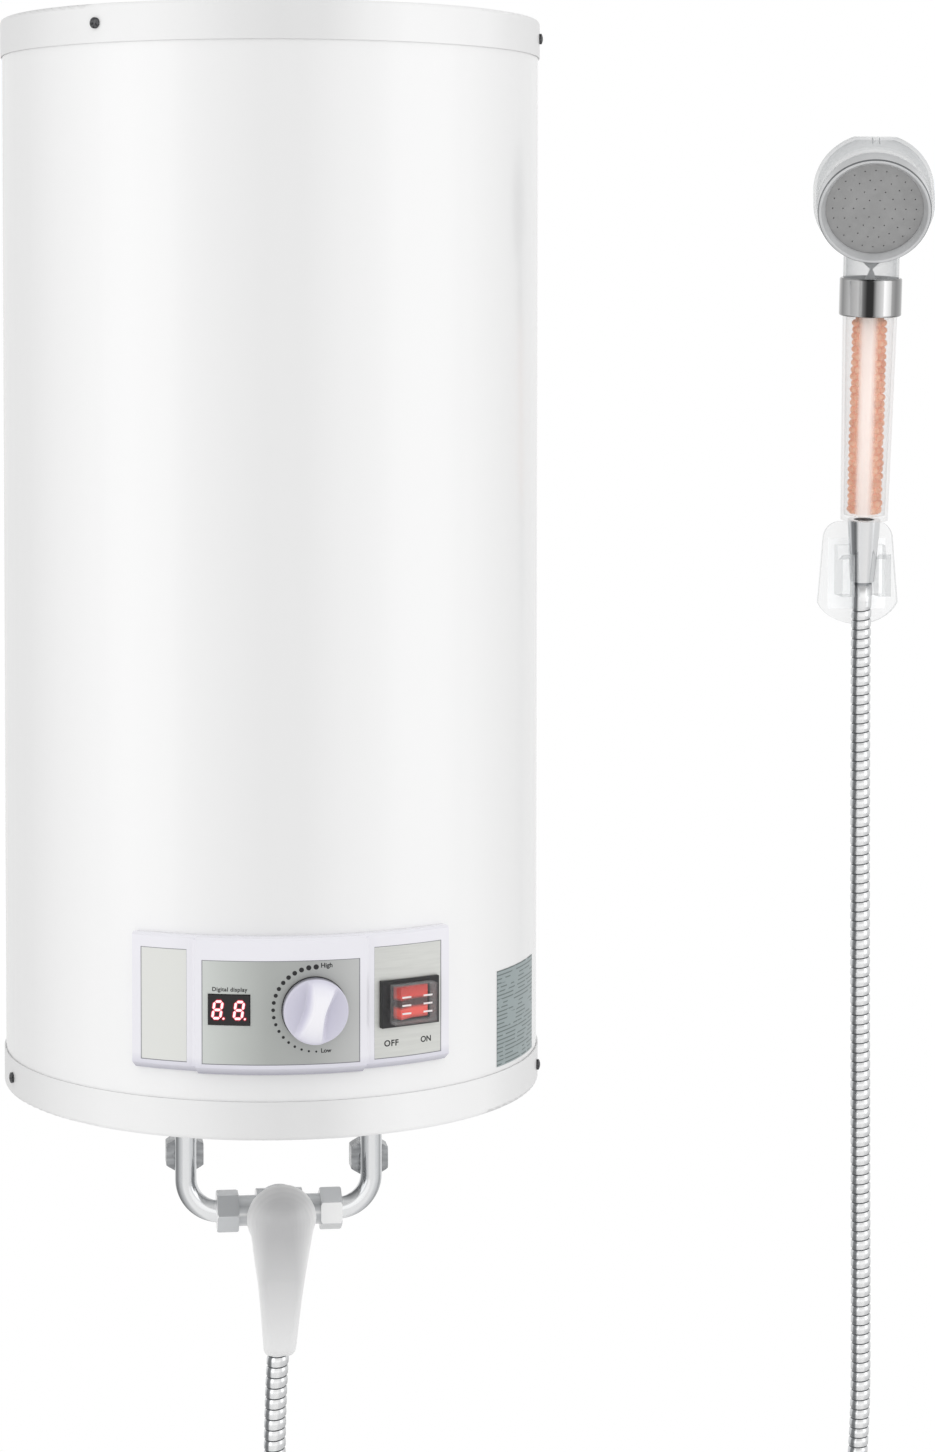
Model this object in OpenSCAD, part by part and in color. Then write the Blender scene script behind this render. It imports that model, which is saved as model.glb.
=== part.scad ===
// Wall-hung electric storage water heater with a lever mixer, shower hose and hand shower.
// The origin is midway between the two hanger holes, on the wall face.
// X runs right, Y runs into the wall, Z is up. All sizes are in millimetres.

/* [Casing] */
// Outside diameter of the painted sheet casing
casing_d = 378; // [350:1:460]
// Thickness of the casing sheet
casing_wall = 0.8; // [0.6:0.1:1.5]
// Height of the heater over both covers
tank_h = 750; // [680:1:900]
// Gap between the casing and the wall
wall_gap = 14; // [12:1:30]
// Height of the hanger holes above the underside of the heater
hanger_z = 560; // [500:1:620]

/* [Covers] */
// Height of a cover's flange
cover_h = 26; // [22:1:34]
// Thickness of the cover sheet
cover_wall = 1; // [0.8:0.1:2]
// Radius of the cover's outer edge
cover_edge_r = 3; // [2.5:0.5:5]
// Radial gap between a cover's flange and the casing
cover_clear = 0.2; // [0.1:0.05:0.4]
// Shank diameter of the cover screws
cover_screw_d = 3.9; // [3:0.1:5]
// Head diameter of the cover screws
cover_screw_head_d = 7.4; // [6:0.1:9]
// Head height of the cover screws
cover_screw_head_h = 2.4; // [1.6:0.1:3]
// Angle of the first screw in the top cover, from the front
top_screw_angle = -42; // [-55:1:-30]
// Angle of the two side screws in the bottom cover, from the front
bottom_screw_angle = 76; // [65:1:85]

/* [Hanger] */
// Distance between the two hanger holes
hanger_spacing = 200; // [160:1:220]
// Diameter of a hanger hole
hanger_hole_d = 11; // [9:0.5:13]
// Width of the hanger plate
hanger_w = 256; // [246:1:280]
// Height of the hanger plate
hanger_plate_h = 44; // [36:1:60]
// Thickness of the hanger plate and its webs
hanger_t = 3; // [2.5:0.5:5]
// Half spacing of the two hanger webs
hanger_web_x = 62; // [56:1:70]
// Thickness of the hanger's saddle on the casing
saddle_t = 2; // [1.5:0.5:3]
// Thread diameter of the hanger bolts
hanger_bolt_d = 8; // [6:1:10]
// Angle of a hanger bolt from the back of the casing
hanger_bolt_angle = 13; // [11:0.5:15]
// Width of the lower wall spacer
spacer_w = 44; // [36:1:60]
// Height of the lower wall spacer
spacer_h = 34; // [24:1:50]
// Height of the lower wall spacer's underside
spacer_z = 66; // [50:1:120]

/* [Inner tank] */
// Thickness of the insulation foam
foam_t = 26.2; // [26:0.1:34]
// Thickness of the steel tank
inner_wall = 1.8; // [1.2:0.1:3]
// Height of the tank's dished ends
dome_h = 45; // [35:1:60]
// Height of the tank's lowest point
inner_z = 60; // [56:1:70]
// Gap from the tank's top to the top of the heater
inner_top_gap = 50; // [40:1:70]
// Gap left round a welded pipe or a foamed piece
seat_clear = 0.05; // [0.02:0.01:0.1]

/* [Element flange] */
// Bore of the flange neck
neck_bore_d = 96; // [90:1:100]
// Outside diameter of the flange and its neck
flange_d = 124; // [118:1:128]
// Height of the neck below the tank's lowest point
neck_drop = 8; // [6:0.5:10]
// Thickness of the rubber gasket
gasket_t = 3; // [2:0.5:4]
// Thickness of the flange plate
flange_t = 5; // [4:0.5:6]
// Thread diameter of the flange bolts
flange_bolt_d = 8; // [6:1:8]
// Diameter of a heating element tube
element_d = 8; // [7:0.5:10]
// Distance between the two legs of the heating element
element_gap = 36; // [30:1:40]
// Height of the heating element above the flange
element_h = 280; // [200:1:340]
// Diameter of the anode rod
anode_d = 20; // [16:1:22]
// Length of the anode rod
anode_len = 320; // [200:1:400]
// Outside diameter of the sensor pocket
pocket_d = 9; // [8:0.5:11]
// Length of the sensor pocket above the flange
pocket_len = 240; // [150:1:300]
// Diameter of the temperature probe
probe_d = 6; // [5:0.1:6.4]

/* [Control panel] */
// Border of the frame beside the outer plates
panel_border = 6.5; // [5:0.5:9]
// Width of the gap between two plates
panel_gap = 11; // [10:0.5:14]
// Width of the blank plate on the left
blank_plate_w = 33; // [28:0.5:40]
// Width of the centre plate
centre_plate_w = 104; // [101:0.5:110]
// Width of the switch plate
switch_plate_w = 51.5; // [47:0.5:54]
// Height of the frame's lowest edge above the underside of the heater
panel_z = 44.5; // [42:0.5:60]
// Height of the sloped chin under the plates
chin_h = 8; // [7:0.5:10]
// How much higher the outer parts of the chin end
chin_step = 1.5; // [1:0.5:4]
// Height of the two outer plates
side_plate_h = 75; // [70:0.5:80]
// Height of the centre plate
centre_plate_h = 69; // [64:0.5:70]
// Border of the frame above the outer plates
top_border = 9; // [8:0.5:12]
// How far the outer parts of the frame stand off the casing
panel_proud = 7; // [6:0.5:9]
// How much further the centre of the frame stands out
centre_raise = 3; // [2:0.5:4]
// Wall thickness of the frame
panel_skin = 2.5; // [2.2:0.1:3]
// Depth of the pocket that a plate lies in
plate_recess = 1.2; // [1:0.1:1.4]
// Thickness of a plate
plate_t = 0.8; // [0.5:0.1:0.9]
// Gap round a plate in its pocket
plate_clear = 0.25; // [0.1:0.05:0.4]
// Height of the controls' centre line above the lower edge of the plates
control_h = 36.5; // [34:0.5:38]

/* [Display] */
// Width of the display window
display_w = 27.8; // [24:0.1:30]
// Height of the display window
display_h = 20.3; // [17:0.1:23]
// Distance of the display's centre from the left edge of the centre plate
display_x = 18; // [16.5:0.1:19]
// Height of a lit digit
digit_h = 12.7; // [9:0.1:14]
// Width of a digit's stroke
digit_stroke = 1.7; // [1.2:0.1:2]

/* [Temperature dial] */
// Diameter of the knob
knob_d = 43; // [36:0.5:46]
// Height of the knob
knob_h = 19; // [15:0.5:24]
// Distance of the dial's axis from the left edge of the centre plate
knob_x = 73.5; // [68:0.5:78]
// Gap between the knob and the centre plate
knob_clear = 0.5; // [0.3:0.1:1]
// Diameter of the knob's shaft
shaft_d = 6; // [5:0.5:8]
// Radial running clearance of shafts and pins
run_clear = 0.05; // [0.02:0.01:0.08]
// Lean of the knob's grip at rest, clockwise from upright
knob_lean = 15; // [0:1:30]

/* [Rocker switch] */
// Width of the switch's black flange
switch_w = 44; // [42:0.5:46]
// Height of the switch's black flange
switch_h = 31.5; // [30:0.5:36]
// How far the flange stands off the plate
switch_flange_t = 2.2; // [1.5:0.1:3]
// Depth of the switch body behind the plate
switch_depth = 24; // [20:0.5:25]
// Width of the rocker
rocker_w = 23.4; // [22:0.2:25]
// Height of the rocker
rocker_h = 21.5; // [18:0.5:22]
// Angle that the rocker tips to each side
rocker_tip = 11; // [6:1:12]
// Diameter of the rocker's pin
rocker_pin_d = 3; // [2.5:0.1:3.5]
// Height of the clear boot above the flange
boot_h = 8.5; // [8:0.1:11]
// Wall of the clear boot
boot_wall = 0.8; // [0.6:0.1:1]

/* [Rating plate] */
// Side of the square rating plate
rating_side = 66; // [50:1:70]
// Angle of the rating plate's middle from the front
rating_angle = 60; // [56:1:75]
// Height of the rating plate's lower edge
rating_z = 29.5; // [28:0.5:38]

/* [Pipes] */
// Distance between the two risers
riser_spacing = 130; // [128:1:140]
// Distance of the risers in front of the heater's axis
riser_front = 60; // [56:1:70]
// Outside diameter of the riser tubes
riser_d = 15; // [14:0.5:16]
// Bore of the riser tubes
riser_bore = 12; // [10:0.5:12.5]
// Bend radius of the risers at the tube's middle
riser_bend_r = 24; // [22:0.5:24]
// Outside diameter of the threaded pipe ends
thread_d = 20.9; // [20:0.1:22]
// Bore of the threaded pipe ends
nipple_bore = 15; // [12:0.5:15.5]
// Distance the pipe ends reach below the heater
nipple_drop = 14; // [13:0.5:18]
// Diameter of the rims on the tube ends
collar_d = 18.5; // [17.5:0.1:19]
// Thickness of the rims on the tube ends
collar_t = 2.4; // [2:0.1:3]
// Thickness of a fibre washer
washer_t = 1.6; // [1:0.1:2]
// Width across the flats of the union nuts
nut_af = 26; // [25.5:0.5:30]
// Thickness of the inward lip of a union nut
nut_lip = 2.4; // [2:0.1:3]
// Clearance of a tube in its nut
nut_clear = 0.2; // [0.15:0.05:0.3]
// Height of the hot side's supply union above the mixer's axis
hot_supply_up = 38; // [35:0.5:40]
// Height of the cold side's supply union above the mixer's axis
cold_supply_up = 32; // [32:0.5:36]
// Thread bore of the supply unions
supply_thread_d = 19; // [18:0.1:20]
// Length of the supply unions' open thread
supply_thread_len = 11; // [8:0.5:14]

/* [Mixer] */
// Distance of the mixer's axis below the underside of the heater
mixer_drop = 81.5; // [79:0.5:86]
// Diameter of the mixer's middle barrel
barrel_d = 30; // [28:0.5:31]
// Length of the mixer's middle barrel
barrel_len = 32; // [31:0.5:34]
// Diameter of the ball under the lever
ball_d = 43.6; // [42:0.2:45]
// Distance of the ball's centre in front of the mixer's axis
ball_front = 22; // [21:0.5:25]
// Half length of the ball along its axis
ball_half = 12; // [11.5:0.5:12.5]
// Wall of the ball
ball_wall = 3; // [2.5:0.1:3.2]
// Gap between the ball and the lever's cup
cup_clear = 0.5; // [0.3:0.1:0.8]
// Wall of the lever's cup
cup_wall = 2; // [1.8:0.1:2.6]
// Length of the lever below the mixer's axis
lever_len = 90; // [80:1:100]
// Width of the lever halfway down
lever_mid_w = 36; // [30:0.5:38]
// Width of the lever's tip
lever_tip_w = 23; // [20:0.5:25]
// Diameter of the lever's pin
lever_pin_d = 4; // [3:0.5:5]
// Diameter of the lever's inner post
lever_post_d = 10; // [9:0.5:10.5]
// Width across the flats of the hose nut
hose_nut_af = 24; // [24:0.5:27]

/* [Shower hose] */
// Outside diameter of the metal hose
hose_d = 15.5; // [14:0.1:16]
// Bore of the hose
hose_bore = 9; // [7:0.5:10]
// Number of ribs along the hose
hose_ribs = 180; // [60:1:190]
// Depth of the groove between two ribs
hose_groove = 0.8; // [0.4:0.1:1]

/* [Hand shower] */
// Angle that the hand shower leans away from the wall
hand_tip = 5; // [4:0.5:6]
// Angle that the hand shower is turned in its holder
hand_turn = -13; // [-20:1:20]
// Length of the cone nut
cone_len = 49; // [44:1:54]
// Diameter of the cone nut's lower end
cone_d0 = 18.6; // [17:0.1:19]
// Diameter of the cone nut's upper end
cone_d1 = 25.6; // [24:0.1:28]
// Gap between the cone nut and its holder
cone_clear = 0.3; // [0.3:0.05:0.5]
// Length of the clear handle
handle_len = 172; // [150:1:185]
// Diameter of the handle's lower end
handle_d0 = 36.6; // [34:0.1:38]
// Diameter of the handle's upper end
handle_d1 = 42.4; // [40:0.1:43]
// Wall of the clear handle
handle_wall = 2.2; // [1.8:0.1:2.6]
// Thickness of the handle's floor
handle_floor = 4; // [3:0.5:5]
// Gap between the bead column and the lower end of the handle's bore
bead_gap = 0.6; // [0.5:0.1:3]
// Diameter of the chrome collar
ring_collar_d = 48; // [47:0.1:50]
// Height of the chrome collar
ring_collar_h = 29.5; // [24:0.5:32]
// Outside diameter of the neck
neck_d = 43; // [42:0.1:44]
// Wall of the neck
neck_wall = 2; // [1.6:0.1:2.4]
// Height of the spray plate's middle above the top of the handle
head_rise = 73; // [70:0.5:78]
// Distance of the spray plate's middle in front of the handle's axis
head_front = 33; // [31:0.5:35]
// Tilt of the spray plate to the handle
head_tilt = 20; // [16:1:24]
// Diameter of the clear head shell
head_d = 92.5; // [91:0.5:95]
// Depth of the head behind the spray plate
head_depth = 50; // [47:0.5:52]
// Height of the flat on the head above the spray plate's middle
head_top = 53.5; // [51:0.5:55]
// Wall of the head shell
head_wall = 2.4; // [2:0.1:3]
// Diameter of the chrome spray ring
spray_ring_d = 86; // [84:0.5:87]
// Depth of the chrome spray ring
spray_ring_h = 14; // [13:0.5:16]
// How far the ring's rim stands in front of the spray plate
ring_proud = 7; // [5:0.5:8]
// Diameter of the steel spray plate
spray_plate_d = 79; // [78:0.1:80]
// Thickness of the steel spray plate
spray_plate_t = 1; // [0.6:0.1:1.4]

/* [Wall holder] */
// Width of the holder's plate at the top
holder_top_w = 55.6; // [50:0.1:60]
// Width of the holder's plate at its widest
holder_w = 64; // [60:0.1:70]
// Distance of the holder's lower edge below the cone nut
holder_drop = 35; // [32:0.5:42]
// Gap between the holder's upper edge and the handle
holder_gap = 2.4; // [2:0.1:5]
// Thickness of the holder's plate
holder_t = 4.5; // [3:0.5:6]
// Thickness of the adhesive pad
pad_t = 1; // [0.5:0.1:2]
// Width of the cradle
cradle_w = 38.5; // [36:0.5:42]
// Height of the cradle
cradle_h = 39; // [34:0.5:42]
// Width of the cradle's front slot
cradle_slot = 19; // [18:0.5:20]
// How far the cradle reaches in front of the hand shower's axis
cradle_front = 14; // [13:0.5:17]

/* [Hidden] */
$fn = 96;

eps = 0.01;
tiny = 0.1;
casing_r = casing_d / 2;
axis_y = casing_r + wall_gap;
casing_in_r = casing_r - casing_wall;
inner_r = casing_in_r - foam_t;
inner_top = tank_h - inner_top_gap;
dome_r = (inner_r * inner_r + dome_h * dome_h) / (2 * dome_h);
casing_end = cover_wall + cover_edge_r;
cover_r = casing_r + cover_clear + cover_wall;
top_screw_angles = [top_screw_angle, top_screw_angle + 120, top_screw_angle + 240];
bottom_screw_angles = [-bottom_screw_angle, bottom_screw_angle, 180];
top_screw_z = tank_h - cover_h / 2;
bottom_screw_z = cover_h / 2;
screw_stack = casing_wall + cover_clear + cover_wall;
gland_y = 0.5 * casing_r;
gland_bore_d = 9;
gland_d = 16;

// Heights of the flange stack, from the neck down
neck_face_z = inner_z - neck_drop;
flange_top_z = neck_face_z - gasket_t;
flange_z = flange_top_z - flange_t;
flange_bolt_ring_d = (neck_bore_d + flange_d) / 2;
flange_bolt_count = 6;
flange_bolt_head_h = 0.65 * flange_bolt_d;
flange_bolt_grip = 9;
pocket_bore_d = probe_d + 2 * seat_clear;
anode_front = 27;
anode_stud_d = 8;
tank_pipe_d = 16;
cold_pipe_top = inner_z + dome_h + 30;

// The panel is laid out along the arc of its outer parts
face_r = casing_r + panel_proud;
centre_r = face_r + centre_raise;
panel_w = 2 * panel_border + blank_plate_w + centre_plate_w + switch_plate_w + 2 * panel_gap;
panel_s = -panel_w / 2;
blank_s = panel_s + panel_border;
centre_s = blank_s + blank_plate_w + panel_gap;
switch_s = centre_s + centre_plate_w + panel_gap;
plate_z = panel_z + chin_h;
panel_top = plate_z + side_plate_h + top_border;
control_z = plate_z + control_h;
display_s = centre_s + display_x;
knob_s = centre_s + knob_x;
switch_mid_s = switch_s + switch_plate_w / 2;
centre_floor_r = centre_r - plate_recess;
centre_face_r = centre_floor_r + plate_t;
side_floor_r = face_r - plate_recess;
side_face_r = side_floor_r + plate_t;
centre_ramp = 0.35 * panel_gap;
board_t = 1.6;
board_w = 0.82 * centre_plate_w;
board_h = 0.62 * centre_plate_h;
board_r = centre_r - panel_skin - 13;
dial_body_d = 17;
dial_body_h = 9;
bush_d = shaft_d + 3;
knob_base_r = centre_face_r + knob_clear;
dial_front_r = sqrt(pow(centre_r - panel_skin, 2) - pow(dial_body_d / 2, 2)) - tiny;
display_glass_r = centre_face_r + 0.6;
// The display stands on the board's flat face, which is turned a little from the window
display_gap = board_w / 2 * sin(arc_deg(centre_s + centre_plate_w / 2 - display_s));
digit_slant = 8;
digit_w = 0.52 * digit_h;
digit_t = 0.2;

// Rocker switch, measured outward from the plate under it
rocker_clear = 0.5;
rocker_back = 7;
rocker_front = 4.2;
rocker_reach = rocker_w / 2 * cos(rocker_tip) + (rocker_back + rocker_front) * sin(rocker_tip);
cavity_w = 2 * (rocker_reach + rocker_clear);
cavity_h = rocker_h + 2 * rocker_clear;
switch_body_w = cavity_w + 6;
switch_body_h = cavity_h + 5;
boot_w = cavity_w + 3;
boot_d = cavity_h + 3.5;

// Pipes, unions and mixer
riser_x = riser_spacing / 2;
nut_ac = nut_af / cos(30);
thread_r = thread_d / 2;
riser_top_z = -nipple_drop - washer_t;
top_nut_len = nipple_drop - 3 + washer_t + collar_t + nut_clear + nut_lip;
mixer_z = -mixer_drop;
collar_x = riser_x - riser_bend_r - collar_t;
arm_x = collar_x - washer_t;
mixer_nut_x0 = arm_x - 8.5;
mixer_nut_x1 = collar_x + collar_t + nut_clear + nut_lip;
stub_len = riser_d / 2 + 7;
supply_nut_y0 = stub_len - collar_t - nut_clear - nut_lip;
supply_nut_y1 = stub_len + nut_clear + supply_thread_len;
ball_r = ball_d / 2;
cup_r = ball_r + cup_clear;
lever_r = cup_r + cup_wall;
cup_rim = 9;
lever_th = 12;
outlet_end = 30;
hose_nut_z = 22;
stem_d = 18;
ear_x0 = lever_post_d / 2 + 0.4;
ear_t = 3.4;
cartridge_d = 26;
cartridge_back = 5;

// Hand shower heights above the cone nut's underside
handle_z = cone_len;
bead_z = handle_z + handle_floor;
bead_h = handle_len - handle_floor - 8;
bead_d = handle_d0 - 2 * handle_wall - 2 * bead_gap;
collar_z = handle_z + handle_len - 12;
neck_z = handle_z + handle_len + 1;
head_up = handle_z + handle_len + head_rise;
strainer_h = head_rise - 41;
ring_seat_r = spray_ring_d / 2 - 2;
skirt_z = spray_ring_h - ring_proud;
spigot_d = 16;
spigot_len = 12;
cradle_drop = 11;
holder_top_z = cone_len * cos(hand_tip) - holder_gap;

// Middle line of the shower hose, from the mixer to the cone nut, above the heater's underside
hose_route = [
  [0, -263, -123.5], [0, -263, -144], [0, -263, -170], [-2, -263, -210], [-3, -263, -252],
  [-2, -263, -296], [3, -261, -342], [14, -256, -390], [33, -247, -440], [62, -234, -492],
  [102, -216, -542], [150, -194, -586], [200, -171, -614], [248, -149, -625],
  [298, -126, -617], [346, -104, -592], [390, -84, -551], [430, -62, -499], [458, -46, -440],
  [472, -36, -380], [478, -30, -320], [479, -27, -240], [479, -24, -140], [479, -21, -40],
  [479, -18, 60], [479, -16, 160], [479, -15, 240], [479, -15, 290], [479, -16.3, 314],
  [479, -18, 334]];
hose_end = hose_route[len(hose_route) - 1];
hand_x = hose_end[0];
hand_front = -hose_end[1];
hand_z = hose_end[2];
hose_nut_len = mixer_z - hose_nut_z - hose_route[0][2];
fine_steps = 8;
hose_fine = [for (i = [0 : len(hose_route) - 2], k = [0 : fine_steps - 1])
    route_point(hose_route, i, k / fine_steps), hose_end];
hose_at = lengths(hose_fine);
hose_len = hose_at[len(hose_at) - 1];
hose_sides = 8;
bore_rings = 60;

// Frame of the heater's axis: z is zero at the underside of the bottom cover
module on_axis() {
  translate([0, -axis_y, -hanger_z]) children();
}

// Frame of the wall holder: z is zero at the cone nut's underside
module on_holder() {
  translate([hand_x, -hand_front, hand_z - hanger_z]) children();
}

// Frame of the hand shower, which leans in its holder
module on_hand() {
  on_holder() rotate([hand_tip, 0, 0]) children();
}

// Angle of a place on the panel from its distance along the arc
function arc_deg(s) = s / face_r * 180 / PI;

// A place on the panel: x runs right along the casing, -y points outward
module at_panel(s, r, z) {
  rotate([0, 0, arc_deg(s)]) translate([0, -r, z]) children();
}

// Turns a piece so that its own z points outward from the panel
module outward() {
  rotate([90, 0, 0]) children();
}

// Solid ring sector round the heater's axis, between two angles from the front
module sector(r0, r1, a0, a1, z0, z1) {
  rotate([0, 0, a0 - 90])
    rotate_extrude(angle = a1 - a0)
      translate([r0, z0]) square([r1 - r0, z1 - z0]);
}

// The same, with its ends given along the panel's arc
module panel_sector(r0, r1, s0, s1, z0, z1) {
  sector(r0, r1, arc_deg(s0), arc_deg(s1), z0, z1);
}

module tube(d, bore, h) {
  difference() {
    cylinder(d = d, h = h);
    translate([0, 0, -1]) cylinder(d = bore, h = h + 2);
  }
}

// Six-sided prism, with a flat facing +x unless it is turned
module hex(af, h, turn = 0) {
  rotate([0, 0, 30 + turn]) cylinder(d = af / cos(30), h = h, $fn = 6);
}

// Hexagon bolt with its head below z = 0 and its shank above
module hex_bolt(d, head_h, len) {
  translate([0, 0, -head_h]) hex(1.6 * d, head_h);
  translate([0, 0, -eps]) cylinder(d = d, h = len + eps);
}

// Solid of the tank's outer form, drawn in by a wall: a barrel with two dished ends
module vessel(wall) {
  translate([0, 0, inner_z + dome_h]) cylinder(r = inner_r - wall, h = inner_top - inner_z - 2 * dome_h);
  translate([0, 0, inner_z]) vessel_end(wall);
  translate([0, 0, inner_top]) mirror([0, 0, 1]) vessel_end(wall);
}

module vessel_end(wall) {
  intersection() {
    translate([0, 0, -1]) cylinder(r = inner_r - wall, h = dome_h + 2);
    translate([0, 0, dome_r]) sphere(r = dome_r - wall);
  }
}

// The two pipe places under the heater: -1 is hot, 1 is cold
module at_riser(side) {
  translate([side * riser_x, -riser_front, 0]) children();
}

module at_screws(angles, z) {
  for (a = angles) rotate([0, 0, a]) translate([0, -casing_in_r, z]) outward() children();
}

module screw_holes(angles, z) {
  at_screws(angles, z)
    translate([0, 0, -5]) cylinder(d = cover_screw_d + 2 * seat_clear, h = screw_stack + 10);
}

module cover_screw() {
  translate([0, 0, -8]) cylinder(d = cover_screw_d, h = 8 + screw_stack + tiny);
  translate([0, 0, screw_stack + tiny / 2])
    intersection() {
      cylinder(d = cover_screw_head_d, h = cover_screw_head_h);
      translate([0, 0, cover_screw_head_h - cover_screw_head_d])
        sphere(r = cover_screw_head_d);
    }
}

module hanger_bolt_places() {
  for (side = [-1, 1])
    rotate([0, 0, 180 + side * hanger_bolt_angle])
      translate([0, -casing_r - saddle_t - seat_clear, hanger_z]) children();
}

module outer_casing() {
  color("#f4f4f4") on_axis()
    difference() {
      translate([0, 0, casing_end])
        tube(casing_d, 2 * casing_in_r, tank_h - 2 * casing_end);
      screw_holes(top_screw_angles, top_screw_z);
      screw_holes(bottom_screw_angles, bottom_screw_z);
      panel_sector(casing_in_r - 1, casing_r + 1, panel_s + 12, -panel_s - 4,
        plate_z + 4, panel_top - 10);
      hanger_bolt_places() rotate([-90, 0, 0])
        cylinder(d = hanger_bolt_d + 2 * seat_clear, h = 20);
    }
}

// Cover profile: a disc with a round edge and an upright flange
module cover_section(r, h, edge) {
  flat_r = r - edge;
  square([flat_r, h]);
  translate([0, edge]) square([r, h - edge]);
  translate([flat_r, edge]) circle(r = edge);
}

module cover_shell() {
  difference() {
    rotate_extrude() intersection() {
      cover_section(cover_r, cover_h, cover_edge_r);
      square([2 * cover_r, cover_h]);
    }
    translate([0, 0, cover_wall])
      rotate_extrude() intersection() {
        cover_section(cover_r - cover_wall, cover_h, cover_edge_r - cover_wall);
        square([2 * cover_r, cover_h]);
      }
  }
}

module top_cover() {
  color("#e9e9ea") on_axis()
    difference() {
      translate([0, 0, tank_h]) mirror([0, 0, 1]) cover_shell();
      screw_holes(top_screw_angles, top_screw_z);
    }
}

module bottom_cover() {
  color("#e9e9ea") on_axis()
    difference() {
      cover_shell();
      screw_holes(bottom_screw_angles, bottom_screw_z);
      for (side = [-1, 1])
        at_riser(side) translate([0, 0, -1])
          cylinder(d = thread_d + 2 * nut_clear, h = cover_wall + 2);
      translate([0, gland_y, -1])
        cylinder(d = gland_d + 2 * seat_clear, h = cover_wall + 2);
    }
}

module top_cover_screws() {
  color("#555555") on_axis() at_screws(top_screw_angles, top_screw_z) cover_screw();
}

module bottom_cover_screws() {
  color("#555555") on_axis() at_screws(bottom_screw_angles, bottom_screw_z) cover_screw();
}

module insulation_foam() {
  foam_r = casing_in_r - seat_clear;
  foam_z = casing_end + cover_h;
  color("#e8dcb4") on_axis()
    difference() {
      translate([0, 0, foam_z]) cylinder(r = foam_r, h = tank_h - casing_end - foam_z);
      vessel(-seat_clear);
      translate([0, 0, -1]) cylinder(r = inner_r - 30, h = inner_z + 1);
      translate([0, 0, -1]) cylinder(d = flange_d + 2 * seat_clear, h = inner_z + dome_h);
      for (side = [-1, 1])
        at_riser(side) cylinder(d = thread_d + 2 * seat_clear, h = inner_z + dome_h);
      panel_sector(inner_r - 10, casing_r, panel_s + 8, -panel_s, foam_z - 1, panel_top - 6);
      for (z = [top_screw_z, bottom_screw_z])
        at_screws(z == top_screw_z ? top_screw_angles : bottom_screw_angles, z)
          translate([0, 0, -12]) cylinder(d = cover_screw_d + 1, h = 14);
      hanger_bolt_places() rotate([-90, 0, 0])
        cylinder(d = hanger_bolt_d + 2 * seat_clear, h = 24);
    }
}

module inner_tank() {
  color("#b9bdc0") on_axis()
    difference() {
      union() {
        vessel(0);
        translate([0, 0, neck_face_z]) cylinder(d = flange_d, h = neck_drop + dome_h / 3);
      }
      vessel(inner_wall);
      translate([0, 0, neck_face_z - 1]) cylinder(d = neck_bore_d, h = neck_drop + dome_h);
      for (side = [-1, 1])
        at_riser(side) cylinder(d = thread_d + 2 * seat_clear, h = inner_z + dome_h);
      flange_bolt_places() cylinder(d = flange_bolt_d + 2 * seat_clear, h = flange_bolt_grip + 1);
    }
}

// Middle of each flange bolt, at the face of the neck
module flange_bolt_places() {
  for (i = [0 : flange_bolt_count - 1])
    rotate([0, 0, 360 / flange_bolt_count * (i + 0.5)])
      translate([flange_bolt_ring_d / 2, 0, neck_face_z]) children();
}

module hanger_bracket() {
  saddle_half = hanger_bolt_angle + 8;
  saddle_r = casing_r + seat_clear;
  web_h = hanger_plate_h - 8;
  color("#c9ccce")
    difference() {
      union() {
        translate([-hanger_w / 2, -hanger_t, -hanger_plate_h / 2])
          cube([hanger_w, hanger_t, hanger_plate_h]);
        for (side = [-1, 1])
          translate([side * hanger_web_x - hanger_t / 2, -axis_y, -web_h / 2])
            cube([hanger_t, axis_y - eps, web_h]);
        on_axis() sector(saddle_r, saddle_r + saddle_t, 180 - saddle_half, 180 + saddle_half,
          hanger_z - web_h / 2, hanger_z + web_h / 2);
      }
      on_axis() translate([0, 0, hanger_z - hanger_plate_h])
        cylinder(r = saddle_r, h = 2 * hanger_plate_h);
      for (side = [-1, 1])
        translate([side * hanger_spacing / 2, 1, 0])
          rotate([90, 0, 0]) cylinder(d = hanger_hole_d, h = hanger_t + 2);
      on_axis() hanger_bolt_places() rotate([-90, 0, 0]) translate([0, 0, -5])
        cylinder(d = hanger_bolt_d + 2 * seat_clear, h = saddle_t + 10);
    }
}

module hanger_bolts() {
  color("#8f9499") on_axis()
    hanger_bolt_places() rotate([-90, 0, 0]) hex_bolt(hanger_bolt_d, 5, saddle_t + 14);
}

module lower_spacer() {
  color("#dcdcdc")
    difference() {
      translate([-spacer_w / 2, -axis_y, spacer_z - hanger_z])
        cube([spacer_w, axis_y, spacer_h]);
      on_axis() cylinder(r = casing_r + seat_clear, h = tank_h);
      translate([-spacer_w / 2 + 3, -wall_gap - spacer_w, spacer_z - hanger_z + 3])
        cube([spacer_w - 6, spacer_w + wall_gap - 3, spacer_h - 6]);
    }
}

module element_flange() {
  color("#9aa0a4") on_axis()
    difference() {
      translate([0, 0, flange_z]) cylinder(d = flange_d, h = flange_t);
      for (side = [-1, 1])
        translate([side * element_gap / 2, 0, flange_z - 1])
          cylinder(d = element_d + 2 * seat_clear, h = flange_t + 2);
      translate([0, anode_front, flange_z - 1])
        cylinder(d = anode_stud_d + 2 * seat_clear, h = flange_t + 2);
      translate([0, -anode_front, flange_z - 1])
        cylinder(d = pocket_d + 2 * seat_clear, h = flange_t + 2);
      translate([0, 0, -gasket_t - flange_t - 1]) flange_bolt_places()
        cylinder(d = flange_bolt_d + 2 * seat_clear, h = flange_t + 2);
    }
}

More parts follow.
